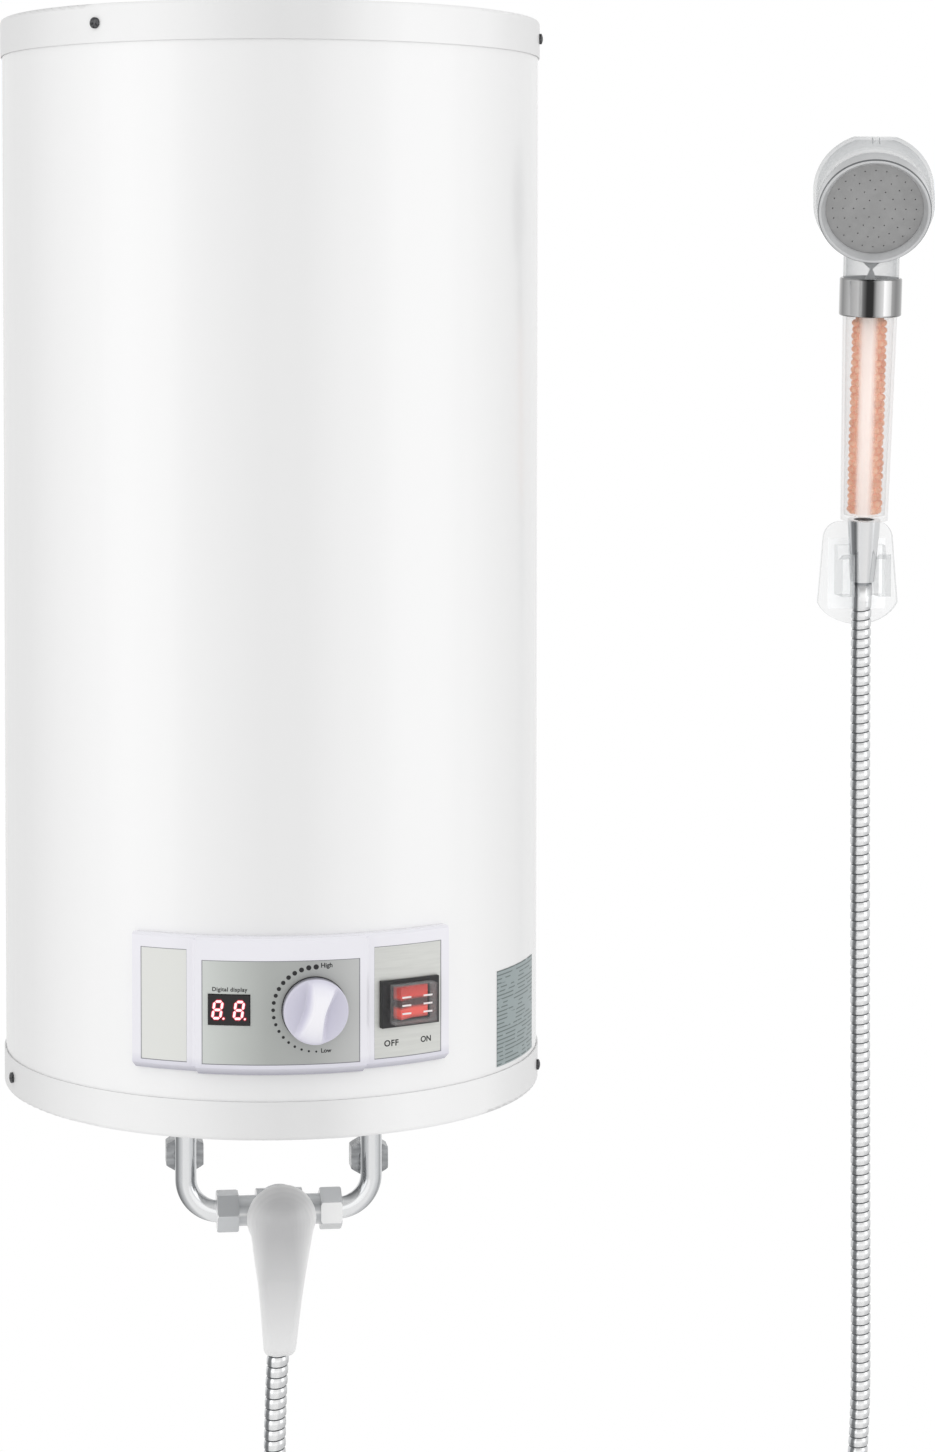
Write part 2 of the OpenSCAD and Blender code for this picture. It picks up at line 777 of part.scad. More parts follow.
module flange_gasket() {
  color("#2b2b2b") on_axis()
    difference() {
      translate([0, 0, flange_top_z]) tube(flange_d, neck_bore_d, gasket_t);
      translate([0, 0, -gasket_t - 1]) flange_bolt_places()
        cylinder(d = flange_bolt_d + 2 * seat_clear, h = gasket_t + 2);
    }
}

module flange_bolts() {
  color("#8f9499") on_axis()
    translate([0, 0, -gasket_t - flange_t]) flange_bolt_places()
      hex_bolt(flange_bolt_d, flange_bolt_head_h, flange_t + gasket_t + flange_bolt_grip);
}

// Hairpin element: two legs joined by a half turn, with its ends below the flange
module heating_element() {
  leg_z = flange_z - 8;
  top_z = flange_top_z + element_h - element_gap / 2;
  color("#a8774f") on_axis() {
    for (side = [-1, 1])
      translate([side * element_gap / 2, 0, leg_z]) cylinder(d = element_d, h = top_z - leg_z);
    translate([0, 0, top_z]) rotate([90, 0, 0])
      rotate_extrude(angle = 180) translate([element_gap / 2, 0]) circle(d = element_d);
  }
}

module anode_rod() {
  color("#8e9092") on_axis() translate([0, anode_front, 0]) {
    translate([0, 0, flange_top_z + seat_clear]) cylinder(d = anode_d, h = anode_len);
    translate([0, 0, flange_z - 8]) cylinder(d = anode_stud_d, h = flange_t + 9);
  }
}

module sensor_pocket() {
  color("#c08a5a") on_axis() translate([0, -anode_front, flange_z - 4])
    difference() {
      cylinder(d = pocket_d, h = flange_t + 4 + pocket_len);
      translate([0, 0, -1]) cylinder(d = pocket_bore_d, h = flange_t + 3 + pocket_len);
    }
}

module temperature_probe() {
  color("#3a3a3a") on_axis() translate([0, -anode_front, flange_z - 14])
    cylinder(d = probe_d, h = flange_t + 12 + pocket_len);
}

// Threaded pipe end welded in the tank's floor, with a thinner pipe above it
module tank_pipe(pipe_d, top_z) {
  shoulder_z = inner_z + dome_h;
  difference() {
    union() {
      translate([0, 0, -nipple_drop]) cylinder(d = thread_d, h = shoulder_z + nipple_drop);
      cylinder(d = pipe_d, h = top_z);
    }
    translate([0, 0, -nipple_drop - 1]) cylinder(d = nipple_bore, h = shoulder_z + nipple_drop);
    cylinder(d = pipe_d - 2.4, h = top_z + 1);
  }
}

module hot_outlet_pipe() {
  color("#b9bdc0") on_axis() at_riser(-1) tank_pipe(tank_pipe_d, inner_top - 30);
}

module cold_inlet_pipe() {
  color("#b9bdc0") on_axis() at_riser(1) tank_pipe(tank_pipe_d, cold_pipe_top);
}

module thermal_cutout() {
  color("#26262a") on_axis() translate([-0.78 * element_gap, 0.8 * anode_front, flange_z - tiny / 2]) {
    translate([0, 0, -12]) cylinder(d = 16, h = 12);
    translate([-3, -1, -18]) cube([1.2, 6, 6.5]);
    translate([2, -1, -18]) cube([1.2, 6, 6.5]);
  }
}

module cable_gland() {
  color("#3b3b3d") on_axis() translate([0, gland_y, 0])
    difference() {
      union() {
        translate([0, 0, -12]) cylinder(d = gland_d + 2, h = 7);
        translate([0, 0, -5.2]) hex(gland_d + 6, 5.2);
        translate([0, 0, -1]) cylinder(d = gland_d, h = 10);
        translate([0, 0, cover_wall + tiny]) hex(gland_d + 6, 5);
      }
      translate([0, 0, -13]) cylinder(d = gland_bore_d, h = 30);
    }
}

// Frame section: the face is upright, its top edge is eased and its chin slopes back to the casing
module frame_section(r_in, r_out, z0, z1) {
  ease = 1.5;
  polygon([[r_in, z0], [casing_r + panel_skin, z0], [r_out, plate_z - panel_skin],
    [r_out, z1 - ease], [r_out - ease, z1], [r_in, z1]]);
}

module frame_body(r_in, r_out, s0, s1, z0, z1) {
  rotate([0, 0, arc_deg(s0) - 90])
    rotate_extrude(angle = arc_deg(s1 - s0)) frame_section(r_in, r_out, z0, z1);
}

// Sloped cheek from the frame's sides up to its raised centre
module frame_cheek(s, dir) {
  inner = face_r - 1.2;
  foot_r = face_r - 0.6;
  cheek_z = plate_z - panel_skin + 0.4;
  a0 = arc_deg(s + dir);
  a1 = arc_deg(s - dir * centre_ramp);
  translate([0, 0, cheek_z])
    linear_extrude(height = panel_top - 2 - cheek_z)
      polygon([[inner * sin(a0), -inner * cos(a0)],
        [(centre_r - 0.3) * sin(a0), -(centre_r - 0.3) * cos(a0)],
        [foot_r * sin(a1), -foot_r * cos(a1)],
        [inner * sin(a1), -inner * cos(a1)]]);
}

module panel_frame() {
  seat_r = casing_r + seat_clear;
  block_s0 = centre_s - panel_gap * 0.4;
  block_s1 = centre_s + centre_plate_w + panel_gap * 0.4;
  block_top = panel_top - 0.4;
  color("#efedf6") on_axis()
    difference() {
      union() {
        frame_body(seat_r, face_r, panel_s, -panel_s, panel_z + chin_step, panel_top);
        frame_body(seat_r + 1, centre_r, block_s0, block_s1, panel_z, block_top);
        frame_cheek(block_s0, 1);
        frame_cheek(block_s1, -1);
      }
      panel_sector(casing_r - 5, face_r - panel_skin, panel_s + panel_skin,
        -panel_s - panel_skin, plate_z, panel_top - panel_skin);
      panel_sector(casing_r - 5, centre_r - panel_skin, block_s0 + 1, block_s1 - 1,
        plate_z, block_top - panel_skin);
      panel_sector(side_floor_r, centre_r, blank_s, blank_s + blank_plate_w,
        plate_z, plate_z + side_plate_h);
      panel_sector(centre_floor_r, centre_r + 1, centre_s, centre_s + centre_plate_w,
        plate_z, plate_z + centre_plate_h);
      panel_sector(side_floor_r, centre_r, switch_s, switch_s + switch_plate_w,
        plate_z, plate_z + side_plate_h);
      at_panel(display_s, centre_r, control_z) display_hole();
      at_panel(knob_s, centre_r, control_z) outward()
        translate([0, 0, -10]) cylinder(d = bush_d + 2 * nut_clear, h = 20);
      at_panel(switch_mid_s, side_face_r, control_z) switch_hole();
    }
  color("#efedf6") on_axis() board_posts();
}

// Posts behind the frame that carry the control board
module board_posts() {
  post_d = 6;
  for (dx = [-1, 1], dz = [-1, 1])
    intersection() {
      at_panel(centre_s + centre_plate_w / 2, board_r, control_z)
        translate([dx * (board_w / 2 - 5), 0, dz * (board_h / 2 - 4)])
          outward() cylinder(d = post_d, h = 30);
      cylinder(r = centre_r - panel_skin + 0.6, h = tank_h);
    }
}

module display_hole() {
  translate([-display_w / 2 - plate_clear, -3, -display_h / 2 - plate_clear])
    cube([display_w + 2 * plate_clear, 20, display_h + 2 * plate_clear]);
}

module switch_hole() {
  translate([-switch_body_w / 2 - plate_clear, -8, -switch_body_h / 2 - plate_clear])
    cube([switch_body_w + 2 * plate_clear, 40, switch_body_h + 2 * plate_clear]);
}

module blank_plate() {
  color("#e6e7e3") on_axis()
    panel_sector(side_floor_r + seat_clear, side_face_r, blank_s + plate_clear,
      blank_s + blank_plate_w - plate_clear, plate_z + plate_clear,
      plate_z + side_plate_h - plate_clear);
}

module centre_plate() {
  color("#bfc2bf") on_axis()
    difference() {
      panel_sector(centre_floor_r + seat_clear, centre_face_r, centre_s + plate_clear,
        centre_s + centre_plate_w - plate_clear, plate_z + plate_clear,
        plate_z + centre_plate_h - plate_clear);
      at_panel(display_s, centre_r, control_z) display_hole();
      at_panel(knob_s, centre_r, control_z) outward()
        translate([0, 0, -10]) cylinder(d = bush_d + 2 * nut_clear, h = 20);
    }
}

module switch_plate() {
  color("#cfd0cc") on_axis()
    difference() {
      panel_sector(side_floor_r + seat_clear, side_face_r, switch_s + plate_clear,
        switch_s + switch_plate_w - plate_clear, plate_z + plate_clear,
        plate_z + side_plate_h - plate_clear);
      at_panel(switch_mid_s, side_face_r, control_z) switch_hole();
    }
}

// Dark window with the display's body behind it, down to the control board
module display_window() {
  body_r = board_r + board_t;
  color("#141114") on_axis()
    at_panel(display_s, 0, control_z)
      translate([-display_w / 2, -display_glass_r, -display_h / 2])
        cube([display_w, display_glass_r - body_r - display_gap, display_h]);
}

// One bar of a digit, lying along x, with pointed ends
module digit_bar(len) {
  h = digit_stroke / 2;
  gap = 0.25;
  linear_extrude(height = digit_t)
    polygon([[gap, 0], [gap + h, h], [len - gap - h, h], [len - gap, 0],
      [len - gap - h, -h], [gap + h, -h]]);
}

// Figure eight of seven bars with its point, slanted to the right
module digit() {
  half = (digit_h - digit_stroke) / 2;
  wide = digit_w - digit_stroke;
  multmatrix([[1, tan(digit_slant), 0, 0], [0, 1, 0, 0], [0, 0, 1, 0], [0, 0, 0, 1]])
    translate([-wide / 2, 0, 0]) {
      for (y = [-half, 0, half]) translate([0, y, 0]) digit_bar(wide);
      for (x = [0, wide], y = [-half, 0])
        translate([x, y, 0]) rotate([0, 0, 90]) digit_bar(half);
    }
}

module display_digits() {
  pitch = display_w * 0.46;
  color("#ff9aa8") on_axis()
    at_panel(display_s, display_glass_r, control_z) outward()
      for (side = [-1, 1])
        translate([side * pitch / 2 - 0.6, 0, 0]) {
          digit();
          translate([digit_w / 2 + 1.1, -digit_h / 2 + 0.7, 0])
            cylinder(d = 1.4, h = digit_t);
        }
}

// Circuit board on the frame's posts; it is turned to the middle of the centre plate
module control_board() {
  color("#2f6b46") on_axis()
    at_panel(centre_s + centre_plate_w / 2, board_r, control_z)
      difference() {
        translate([-board_w / 2, eps, -board_h / 2]) cube([board_w, board_t, board_h]);
        translate([knob_x - centre_plate_w / 2, 0, 0]) outward()
          translate([0, 0, -10]) cylinder(d = dial_body_d + 3, h = 20);
      }
}

module dial_control() {
  color("#5c6066") on_axis()
    at_panel(knob_s, 0, control_z) outward()
      difference() {
        union() {
          translate([0, 0, dial_front_r - dial_body_h])
            cylinder(d = dial_body_d, h = dial_body_h);
          translate([0, 0, dial_front_r - 1])
            cylinder(d = bush_d, h = centre_face_r - dial_front_r + 1);
        }
        translate([0, 0, dial_front_r - dial_body_h + 2])
          cylinder(d = shaft_d + 2 * run_clear, h = 60);
      }
}

module knob_shaft() {
  shaft_base = dial_front_r - dial_body_h + 2.4;
  color("#b5b8ba") on_axis()
    at_panel(knob_s, 0, control_z) outward()
      translate([0, 0, shaft_base]) cylinder(d = shaft_d, h = knob_base_r + knob_h * 0.6 - shaft_base);
}

// Round knob with a waisted grip across its face; its skirt tapers a little
module temperature_knob() {
  knob_r = knob_d / 2;
  skirt_h = 0.55 * knob_h;
  grip_end_w = 0.36 * knob_d;
  grip_waist_w = 0.19 * knob_d;
  color("#f2f0f7") on_axis()
    at_panel(knob_s, knob_base_r, control_z) outward()
      difference() {
        union() {
          cylinder(r1 = knob_r, r2 = knob_r - 1.2, h = skirt_h);
          rotate([0, 0, -knob_lean])
            intersection() {
              linear_extrude(height = knob_h)
                polygon([[-grip_end_w / 2, knob_r], [grip_end_w / 2, knob_r],
                  [grip_waist_w / 2, 0], [grip_end_w / 2, -knob_r],
                  [-grip_end_w / 2, -knob_r], [-grip_waist_w / 2, 0]]);
              cylinder(r1 = knob_r, r2 = knob_r - 3, h = knob_h);
            }
        }
        translate([0, 0, -1]) cylinder(d = shaft_d + 2 * eps, h = 1 + knob_h * 0.6 + tiny);
        translate([0, 0, -1]) difference() {
          cylinder(r = knob_r - 2.5, h = 1 + skirt_h * 0.6);
          cylinder(d = shaft_d + 6, h = skirt_h);
        }
      }
}

module switch_housing() {
  color("#1c1c1e") on_axis()
    difference() {
      at_panel(switch_mid_s, side_face_r, control_z)
        difference() {
          union() {
            translate([-switch_w / 2, -switch_flange_t, -switch_h / 2])
              cube([switch_w, switch_flange_t + 3, switch_h]);
            translate([-switch_body_w / 2, -eps, -switch_body_h / 2])
              cube([switch_body_w, switch_depth, switch_body_h]);
          }
          translate([-cavity_w / 2, -10, -cavity_h / 2]) cube([cavity_w, 10 + 16, cavity_h]);
          translate([0, rocker_back, -switch_body_h / 2 + 0.6])
            cylinder(d = rocker_pin_d + 2 * eps, h = switch_body_h - 1.2);
        }
      flange_seat();
    }
}

// Room under the switch's flange: the curved plate, but not the body that passes through it
module flange_seat() {
  difference() {
    cylinder(r = side_face_r + seat_clear, h = tank_h);
    at_panel(switch_mid_s, side_face_r, control_z)
      translate([-switch_body_w / 2, -10, -switch_body_h / 2])
        cube([switch_body_w, switch_depth + 20, switch_body_h]);
  }
}

// Clear splash cover over the rocker, with short grip ribs on its face
module switch_boot() {
  rib_l = 6.5;
  color("#f3f3f355") on_axis()
    at_panel(switch_mid_s, side_face_r + switch_flange_t, control_z) outward() {
      difference() {
        translate([-boot_w / 2, -boot_d / 2, eps]) cube([boot_w, boot_d, boot_h]);
        translate([-boot_w / 2 + boot_wall, -boot_d / 2 + boot_wall, -1])
          cube([boot_w - 2 * boot_wall, boot_d - 2 * boot_wall, 1 + boot_h - boot_wall]);
      }
      for (x = [-0.26, 0.26], row = [-1, 0, 1])
        translate([x * boot_w - rib_l / 2, row * 5.4 - 0.4, boot_h])
          cube([rib_l, 0.8, 0.5]);
    }
}

// Rocker with a hollowed face; it is tipped to the right, which is on
module switch_rocker() {
  half_w = rocker_w / 2;
  color("#c8281e") on_axis()
    at_panel(switch_mid_s, side_face_r, control_z)
      translate([0, rocker_back, 0]) rotate([0, 0, rocker_tip])
        difference() {
          translate([0, 0, -rocker_h / 2])
            linear_extrude(height = rocker_h)
              polygon([[-half_w, -rocker_back - rocker_front], [0, -rocker_back - 2],
                [half_w, -rocker_back - rocker_front], [half_w, -3], [4, 3.5],
                [-4, 3.5], [-half_w, -3]]);
          translate([0, 0, -rocker_h])
            cylinder(d = rocker_pin_d + 2 * run_clear, h = 2 * rocker_h);
        }
}

module rocker_pin() {
  color("#9a9da0") on_axis()
    at_panel(switch_mid_s, side_face_r, control_z)
      translate([0, rocker_back, -switch_body_h / 2 + 0.7])
        cylinder(d = rocker_pin_d, h = switch_body_h - 1.4);
}

module rating_plate() {
  half = rating_side / 2 / casing_r * 180 / PI;
  color("#9aa5a6") on_axis()
    sector(casing_r + seat_clear, casing_r + seat_clear + 0.3, rating_angle - half,
      rating_angle + half, rating_z, rating_z + rating_side);
}

// Tube shape of the cold riser, outside or bore, with its supply stub above the mixer
module riser_run(d, over, up) {
  bend_z = mixer_z + riser_bend_r;
  translate([riser_x, 0, bend_z]) cylinder(d = d, h = riser_top_z - bend_z + over);
  translate([riser_x - riser_bend_r, 0, bend_z])
    rotate([-90, 0, 0]) rotate_extrude(angle = 90) translate([riser_bend_r, 0]) circle(d = d);
  translate([riser_x - riser_bend_r + eps, 0, mixer_z])
    rotate([0, -90, 0]) cylinder(d = d + over * tiny, h = collar_t + eps + over);
  translate([riser_x, 0, mixer_z + up])
    rotate([-90, 0, 0]) cylinder(d = d, h = stub_len + over);
}

// Cold riser with the rims that its three union nuts hold; the hot one is mirrored
module riser(up) {
  difference() {
    union() {
      riser_run(riser_d, 0, up);
      translate([riser_x, 0, riser_top_z - collar_t]) cylinder(d = collar_d, h = collar_t);
      translate([collar_x, 0, mixer_z])
        rotate([0, 90, 0]) cylinder(d = collar_d, h = collar_t);
      translate([riser_x, stub_len - collar_t, mixer_z + up])
        rotate([-90, 0, 0]) cylinder(d = supply_thread_d - 1, h = collar_t);
    }
    riser_run(riser_bore, 1, up);
  }
}

module at_mixer_plane() {
  on_axis() translate([0, -riser_front, 0]) children();
}

module hot_riser() {
  color("#c8cacc") at_mixer_plane() mirror([1, 0, 0]) riser(hot_supply_up);
}

module cold_riser() {
  color("#c8cacc") at_mixer_plane() riser(cold_supply_up);
}

// Union nut along z: the lip that holds the tube's rim is at z = 0, the thread is above it
module union_nut(len, bore, turn) {
  rim_r = nut_ac / 2 - 1;
  wide_r = rim_r + 2 * nut_af;
  difference() {
    intersection() {
      hex(nut_af, len, turn);
      rotate([0, 0, 11]) cylinder(r1 = rim_r, r2 = wide_r, h = 2 * nut_af);
      rotate([0, 0, 11]) translate([0, 0, len - 2 * nut_af]) cylinder(r1 = wide_r, r2 = rim_r, h = 2 * nut_af);
    }
    translate([0, 0, -1]) cylinder(d = riser_d + 2 * nut_clear, h = len + 2);
    translate([0, 0, nut_lip]) cylinder(d = bore, h = len);
  }
}

module riser_top_nuts() {
  color("#c8cacc") at_mixer_plane()
    for (side = [-1, 1])
      translate([side * riser_x, 0, riser_top_z - collar_t - nut_clear - nut_lip])
        union_nut(top_nut_len, thread_d + 2 * nut_clear, 0);
}

module mixer_union_nuts() {
  color("#c8cacc") at_mixer_plane()
    for (side = [-1, 1])
      translate([side * mixer_nut_x1, 0, mixer_z])
        rotate([0, -90 * side, 0])
          union_nut(mixer_nut_x1 - mixer_nut_x0, thread_d + 2 * nut_clear, side < 0 ? 0 : 30);
}

module supply_union_nuts() {
  color("#c8cacc") at_mixer_plane()
    for (side = [-1, 1])
      translate([side * riser_x, supply_nut_y0, mixer_z + (side < 0 ? hot_supply_up : cold_supply_up)])
        rotate([-90, 0, 0])
          difference() {
            union_nut(supply_nut_y1 - supply_nut_y0, supply_thread_d, 0);
            translate([0, 0, nut_lip])
              cylinder(d = supply_thread_d + 2 * nut_clear, h = collar_t + 2 * nut_clear);
          }
}

module fibre_washers() {
  washer_d = collar_d - 0.5;
  color("#6b4a35") at_mixer_plane()
    for (side = [-1, 1]) {
      translate([side * riser_x, 0, riser_top_z]) tube(washer_d, riser_bore, washer_t);
      translate([side * arm_x, 0, mixer_z])
        rotate([0, 90 * side, 0]) tube(washer_d, riser_bore, washer_t);
    }
}

// Frame of the lever's ball: the mixer's axis moved to the ball's centre
module at_ball() {
  at_mixer_plane() translate([0, -ball_front, mixer_z]) children();
}

module mixer_body() {
  neck_r = sqrt(pow(ball_r, 2) - pow(ball_half, 2));
  color("#c8cacc") at_mixer_plane() translate([0, 0, mixer_z])
    difference() {
      union() {
        translate([-barrel_len / 2, 0, 0]) rotate([0, 90, 0]) cylinder(d = barrel_d, h = barrel_len);
        translate([-arm_x, 0, 0]) rotate([0, 90, 0]) cylinder(d = thread_d, h = 2 * arm_x);
        rotate([90, 0, 0]) cylinder(r = neck_r, h = ball_front - ball_half - eps);
        translate([0, 0, -outlet_end]) cylinder(d = thread_d, h = outlet_end);
      }
      translate([-arm_x - 1, 0, 0]) rotate([0, 90, 0]) cylinder(d = riser_bore, h = 2 * arm_x + 2);
      translate([0, 0, -outlet_end - 1]) cylinder(d = riser_bore, h = outlet_end + 1);
      translate([0, cartridge_back, 0]) rotate([90, 0, 0])
        cylinder(d = cartridge_d + 2 * seat_clear, h = ball_front + cartridge_back);
    }
}

module mixer_cartridge() {
  color("#e7e3d4") at_mixer_plane() translate([0, cartridge_back - eps, mixer_z])
    rotate([90, 0, 0])
      difference() {
        cylinder(d = cartridge_d, h = ball_front + cartridge_back - ball_half + 1);
        translate([0, 0, 6]) cylinder(d = stem_d + 2 * run_clear, h = 60);
      }
}

// Round cover over the cartridge, open in front for the lever's post
module mixer_dome() {
  color("#c8cacc") at_ball()
    difference() {
      rotate([90, 0, 0]) difference() {
        intersection() {
          sphere(r = ball_r);
          translate([0, 0, -ball_half]) cylinder(r = ball_r + 1, h = 2 * ball_half);
        }
        sphere(r = ball_r - ball_wall);
        translate([0, 0, -ball_half - 1]) cylinder(d = cartridge_d + 2 * seat_clear, h = 8);
      }
      translate([-barrel_len, ball_front, 0]) rotate([0, 90, 0])
        cylinder(d = barrel_d + 2 * seat_clear, h = 2 * barrel_len);
      translate([0, ball_front, -barrel_len]) cylinder(d = thread_d + 2 * seat_clear, h = barrel_len);
    }
}

// Stem that turns in the cartridge, with two ears that hold the lever's pin
module cartridge_stem() {
  stem_back = ball_front + cartridge_back - 6.3;
  ear_w = lever_pin_d + 4;
  color("#d8d8d4") at_ball()
    difference() {
      union() {
        translate([0, stem_back, 0]) rotate([90, 0, 0]) cylinder(d = stem_d, h = stem_back - 7.5);
        for (side = [-1, 1])
          translate([side > 0 ? ear_x0 : -ear_x0 - ear_t, -ear_w / 2, -ear_w / 2])
            cube([ear_t, ear_w / 2 + 10, ear_w]);
      }
      translate([-stem_d, 0, 0]) rotate([0, 90, 0]) cylinder(d = lever_pin_d + 2 * eps, h = 2 * stem_d);
    }
}

module lever_pin() {
  pin_half = ear_x0 + ear_t;
  color("#9a9da0") at_ball()
    translate([-pin_half, 0, 0]) rotate([0, 90, 0]) cylinder(d = lever_pin_d, h = 2 * pin_half);
}

// Lever: a cup over the ball that runs into a flat arm, and a post that hangs on the pin
module mixer_lever() {
  mid_z = -0.43 * lever_len;
  mid_y = -14;
  tip_y = -20;
  mid_r = lever_th / 2 + 1;
  tip_r = lever_th / 2;
  color("#dcdcdc") at_ball()
    difference() {
      union() {
        difference() {
          union() {
            hull() {
              sphere(r = lever_r, $fn = 48);
              lever_slab(mid_y, mid_z, lever_mid_w, mid_r);
            }
            hull() {
              lever_slab(mid_y, mid_z, lever_mid_w, mid_r);
              lever_slab(tip_y, tip_r - lever_len, lever_tip_w, tip_r);
            }
          }
          translate([-2 * lever_len, -cup_rim, -2 * lever_len])
            cube([4 * lever_len, 4 * lever_len, 4 * lever_len]);
          sphere(r = cup_r);
        }
        translate([0, 4, 0]) rotate([90, 0, 0]) cylinder(d = lever_post_d, h = cup_r + 5);
      }
      translate([-lever_len, 0, 0]) rotate([0, 90, 0])
        cylinder(d = lever_pin_d + 2 * run_clear, h = 2 * lever_len);
    }
}

module lever_slab(y, z, w, r) {
  for (side = [-1, 1])
    translate([side * (w / 2 - r), y, z]) sphere(r = r, $fn = 32);
}

module hose_nut() {
  color("#c8cacc") at_mixer_plane() translate([0, 0, mixer_z - hose_nut_z - hose_nut_len])
    difference() {
      union() {
        translate([0, 0, 6]) hex(hose_nut_af, hose_nut_len - 6);
        cylinder(d1 = hose_d + 3, d2 = hose_nut_af - 1, h = 6 + eps);
      }
      translate([0, 0, hose_nut_len - (outlet_end - hose_nut_z) - tiny])
        cylinder(d = thread_d + 2 * nut_clear, h = hose_nut_len);
      translate([0, 0, -1]) cylinder(d = hose_bore, h = hose_nut_len);
    }
}

// Smooth curve through the route's points, between point i and the next
function route_point(p, i, t) =
  let (n = len(p), a = p[max(i - 1, 0)], b = p[i], c = p[min(i + 1, n - 1)], d = p[min(i + 2, n - 1)])
  0.5 * (2 * b + (c - a) * t + (2 * a - 5 * b + 4 * c - d) * t * t
    + (3 * b - a - 3 * c + d) * t * t * t);

function lengths(pts, i = 0, sum = 0) =
  i >= len(pts) ? [] : let (s = i == 0 ? 0 : sum + norm(pts[i] - pts[i - 1]))
    concat([s], lengths(pts, i + 1, s));

// Point of the fine line at a distance from its start
function along(s, i = 0, j = len(hose_at) - 1) =
  j - i <= 1 ? hose_fine[i] + (hose_fine[j] - hose_fine[i]) * (s - hose_at[i]) / (hose_at[j] - hose_at[i])
    : let (m = floor((i + j) / 2)) hose_at[m] <= s ? along(s, m, j) : along(s, i, m);

function unit(v) = v / norm(v);

// Ring of points square to the line, turned so that the rings do not twist
function ring(s, r, sides) =
  let (c = along(s), e = 0.5, way = hose_end - hose_route[0], side_way = unit([way[0], way[1], 0]),
    t = unit(along(min(s + e, hose_len)) - along(max(s - e, 0))),
    v = unit(cross(t, cross(side_way, [0, 0, 1]))), u = cross(t, v))
  [for (k = [0 : sides - 1]) c + r * (v * cos(360 * k / sides) + u * sin(360 * k / sides))];

// Triangles between ring i and the next one of a tube whose rings follow on in the list
function band(first, i, sides) =
  [for (k = [0 : sides - 1]) let (a = first + i * sides + k, b = first + i * sides + (k + 1) % sides)
    each [[a, b, a + sides], [b, b + sides, a + sides]]];

// Ribbed metal hose: each rib has a crest ring and a groove ring, and both ends are straight
module shower_hose() {
  end = hose_d;
  run = hose_len - 2 * end;
  crest = hose_d / 2;
  outside = concat([[0, crest], [end, crest]],
    [for (i = [0 : hose_ribs - 1]) each [[end + run * (i + 0.3) / hose_ribs, crest - hose_groove],
      [end + run * (i + 0.7) / hose_ribs, crest]]],
    [[hose_len - end, crest], [hose_len, crest]]);
  outer_n = len(outside);
  outer_pts = [for (o = outside) each ring(o[0], o[1], hose_sides)];
  inner_pts = [for (i = [0 : bore_rings]) each ring(hose_len * i / bore_rings, hose_bore / 2, hose_sides)];
  first_in = len(outer_pts);
  last_out = first_in - hose_sides;
  last_in = first_in + bore_rings * hose_sides;
  faces = concat(
    [for (i = [0 : outer_n - 2]) each band(0, i, hose_sides)],
    [for (i = [0 : bore_rings - 1], f = band(first_in, i, hose_sides)) [f[0], f[2], f[1]]],
    [for (k = [0 : hose_sides - 1]) let (m = (k + 1) % hose_sides)
      each [[k, first_in + k, m], [m, first_in + k, first_in + m]]],
    [for (k = [0 : hose_sides - 1]) let (m = (k + 1) % hose_sides)
      each [[last_out + k, last_out + m, last_in + k], [last_out + m, last_in + m, last_in + k]]]);
  color("#c4c6c8") translate([0, 0, -hanger_z])
    polyhedron(points = concat(outer_pts, inner_pts), faces = faces, convexity = 10);
}

// Wall holder: a rounded plate and a cradle with a cone seat that is open in front
module shower_holder() {
  corner_r = 14;
  foot_h = 17;
  shoulder_z = foot_h - holder_drop;
  cradle_z = -cradle_drop;
  seat_z0 = cradle_z - 3;
  seat_h = cradle_h + 8;
  slope = (cone_d1 - cone_d0) / 2 / cone_len;
  neck_len = hand_front - pad_t - holder_t;
  color("#d9dadb") on_holder()
    difference() {
      union() {
        translate([0, hand_front - pad_t, 0]) rotate([90, 0, 0])
          linear_extrude(height = holder_t)
            polygon([for (side = [1, -1], a = [0 : 10 : 90])
                let (turn = side > 0 ? a : a + 90)
                  [side * (holder_top_w / 2 - corner_r) + corner_r * cos(turn),
                    holder_top_z - corner_r + corner_r * sin(turn)],
              [-holder_w / 2, shoulder_z],
              for (a = [200 : 10 : 340]) [holder_w / 2 * cos(a) / cos(20),
                shoulder_z + foot_h * (sin(a) + sin(20)) / (1 - sin(20))],
              [holder_w / 2, shoulder_z]]);
        translate([-cradle_w / 2, -cradle_front, cradle_z])
          cube([cradle_w, cradle_front + neck_len + eps, cradle_h]);
      }
      rotate([hand_tip, 0, 0]) translate([0, 0, seat_z0]) {
        cylinder(r1 = cone_d0 / 2 + cone_clear + slope * seat_z0,
          r2 = cone_d0 / 2 + cone_clear + slope * (seat_z0 + seat_h), h = seat_h);
        translate([-cradle_slot / 2, -2 * cradle_front, 0])
          cube([cradle_slot, 2 * cradle_front, seat_h]);
      }
      translate([-cradle_w, -cradle_front, cradle_z + cradle_h - 6])
        rotate([-20, 0, 0]) translate([0, -40, 0]) cube([2 * cradle_w, 54, 30]);
    }
}

module adhesive_pad() {
  pad_w = 0.72 * holder_w;
  pad_h = 0.68 * (holder_top_z + holder_drop);
  color("#d0d0d0") on_holder()
    translate([-pad_w / 2, hand_front - pad_t + eps, 12 - holder_drop]) cube([pad_w, pad_t - eps, pad_h]);
}

module hose_cone_nut() {
  color("#cfd1d3") on_hand()
    difference() {
      translate([0, 0, tiny]) cylinder(d1 = cone_d0, d2 = cone_d1, h = cone_len - tiny);
      translate([0, 0, -1]) cylinder(d = hose_bore, h = cone_len + 2);
      translate([0, 0, cone_len - spigot_len - tiny]) cylinder(d = spigot_d + 2 * seat_clear,
        h = spigot_len + 1);
    }
}

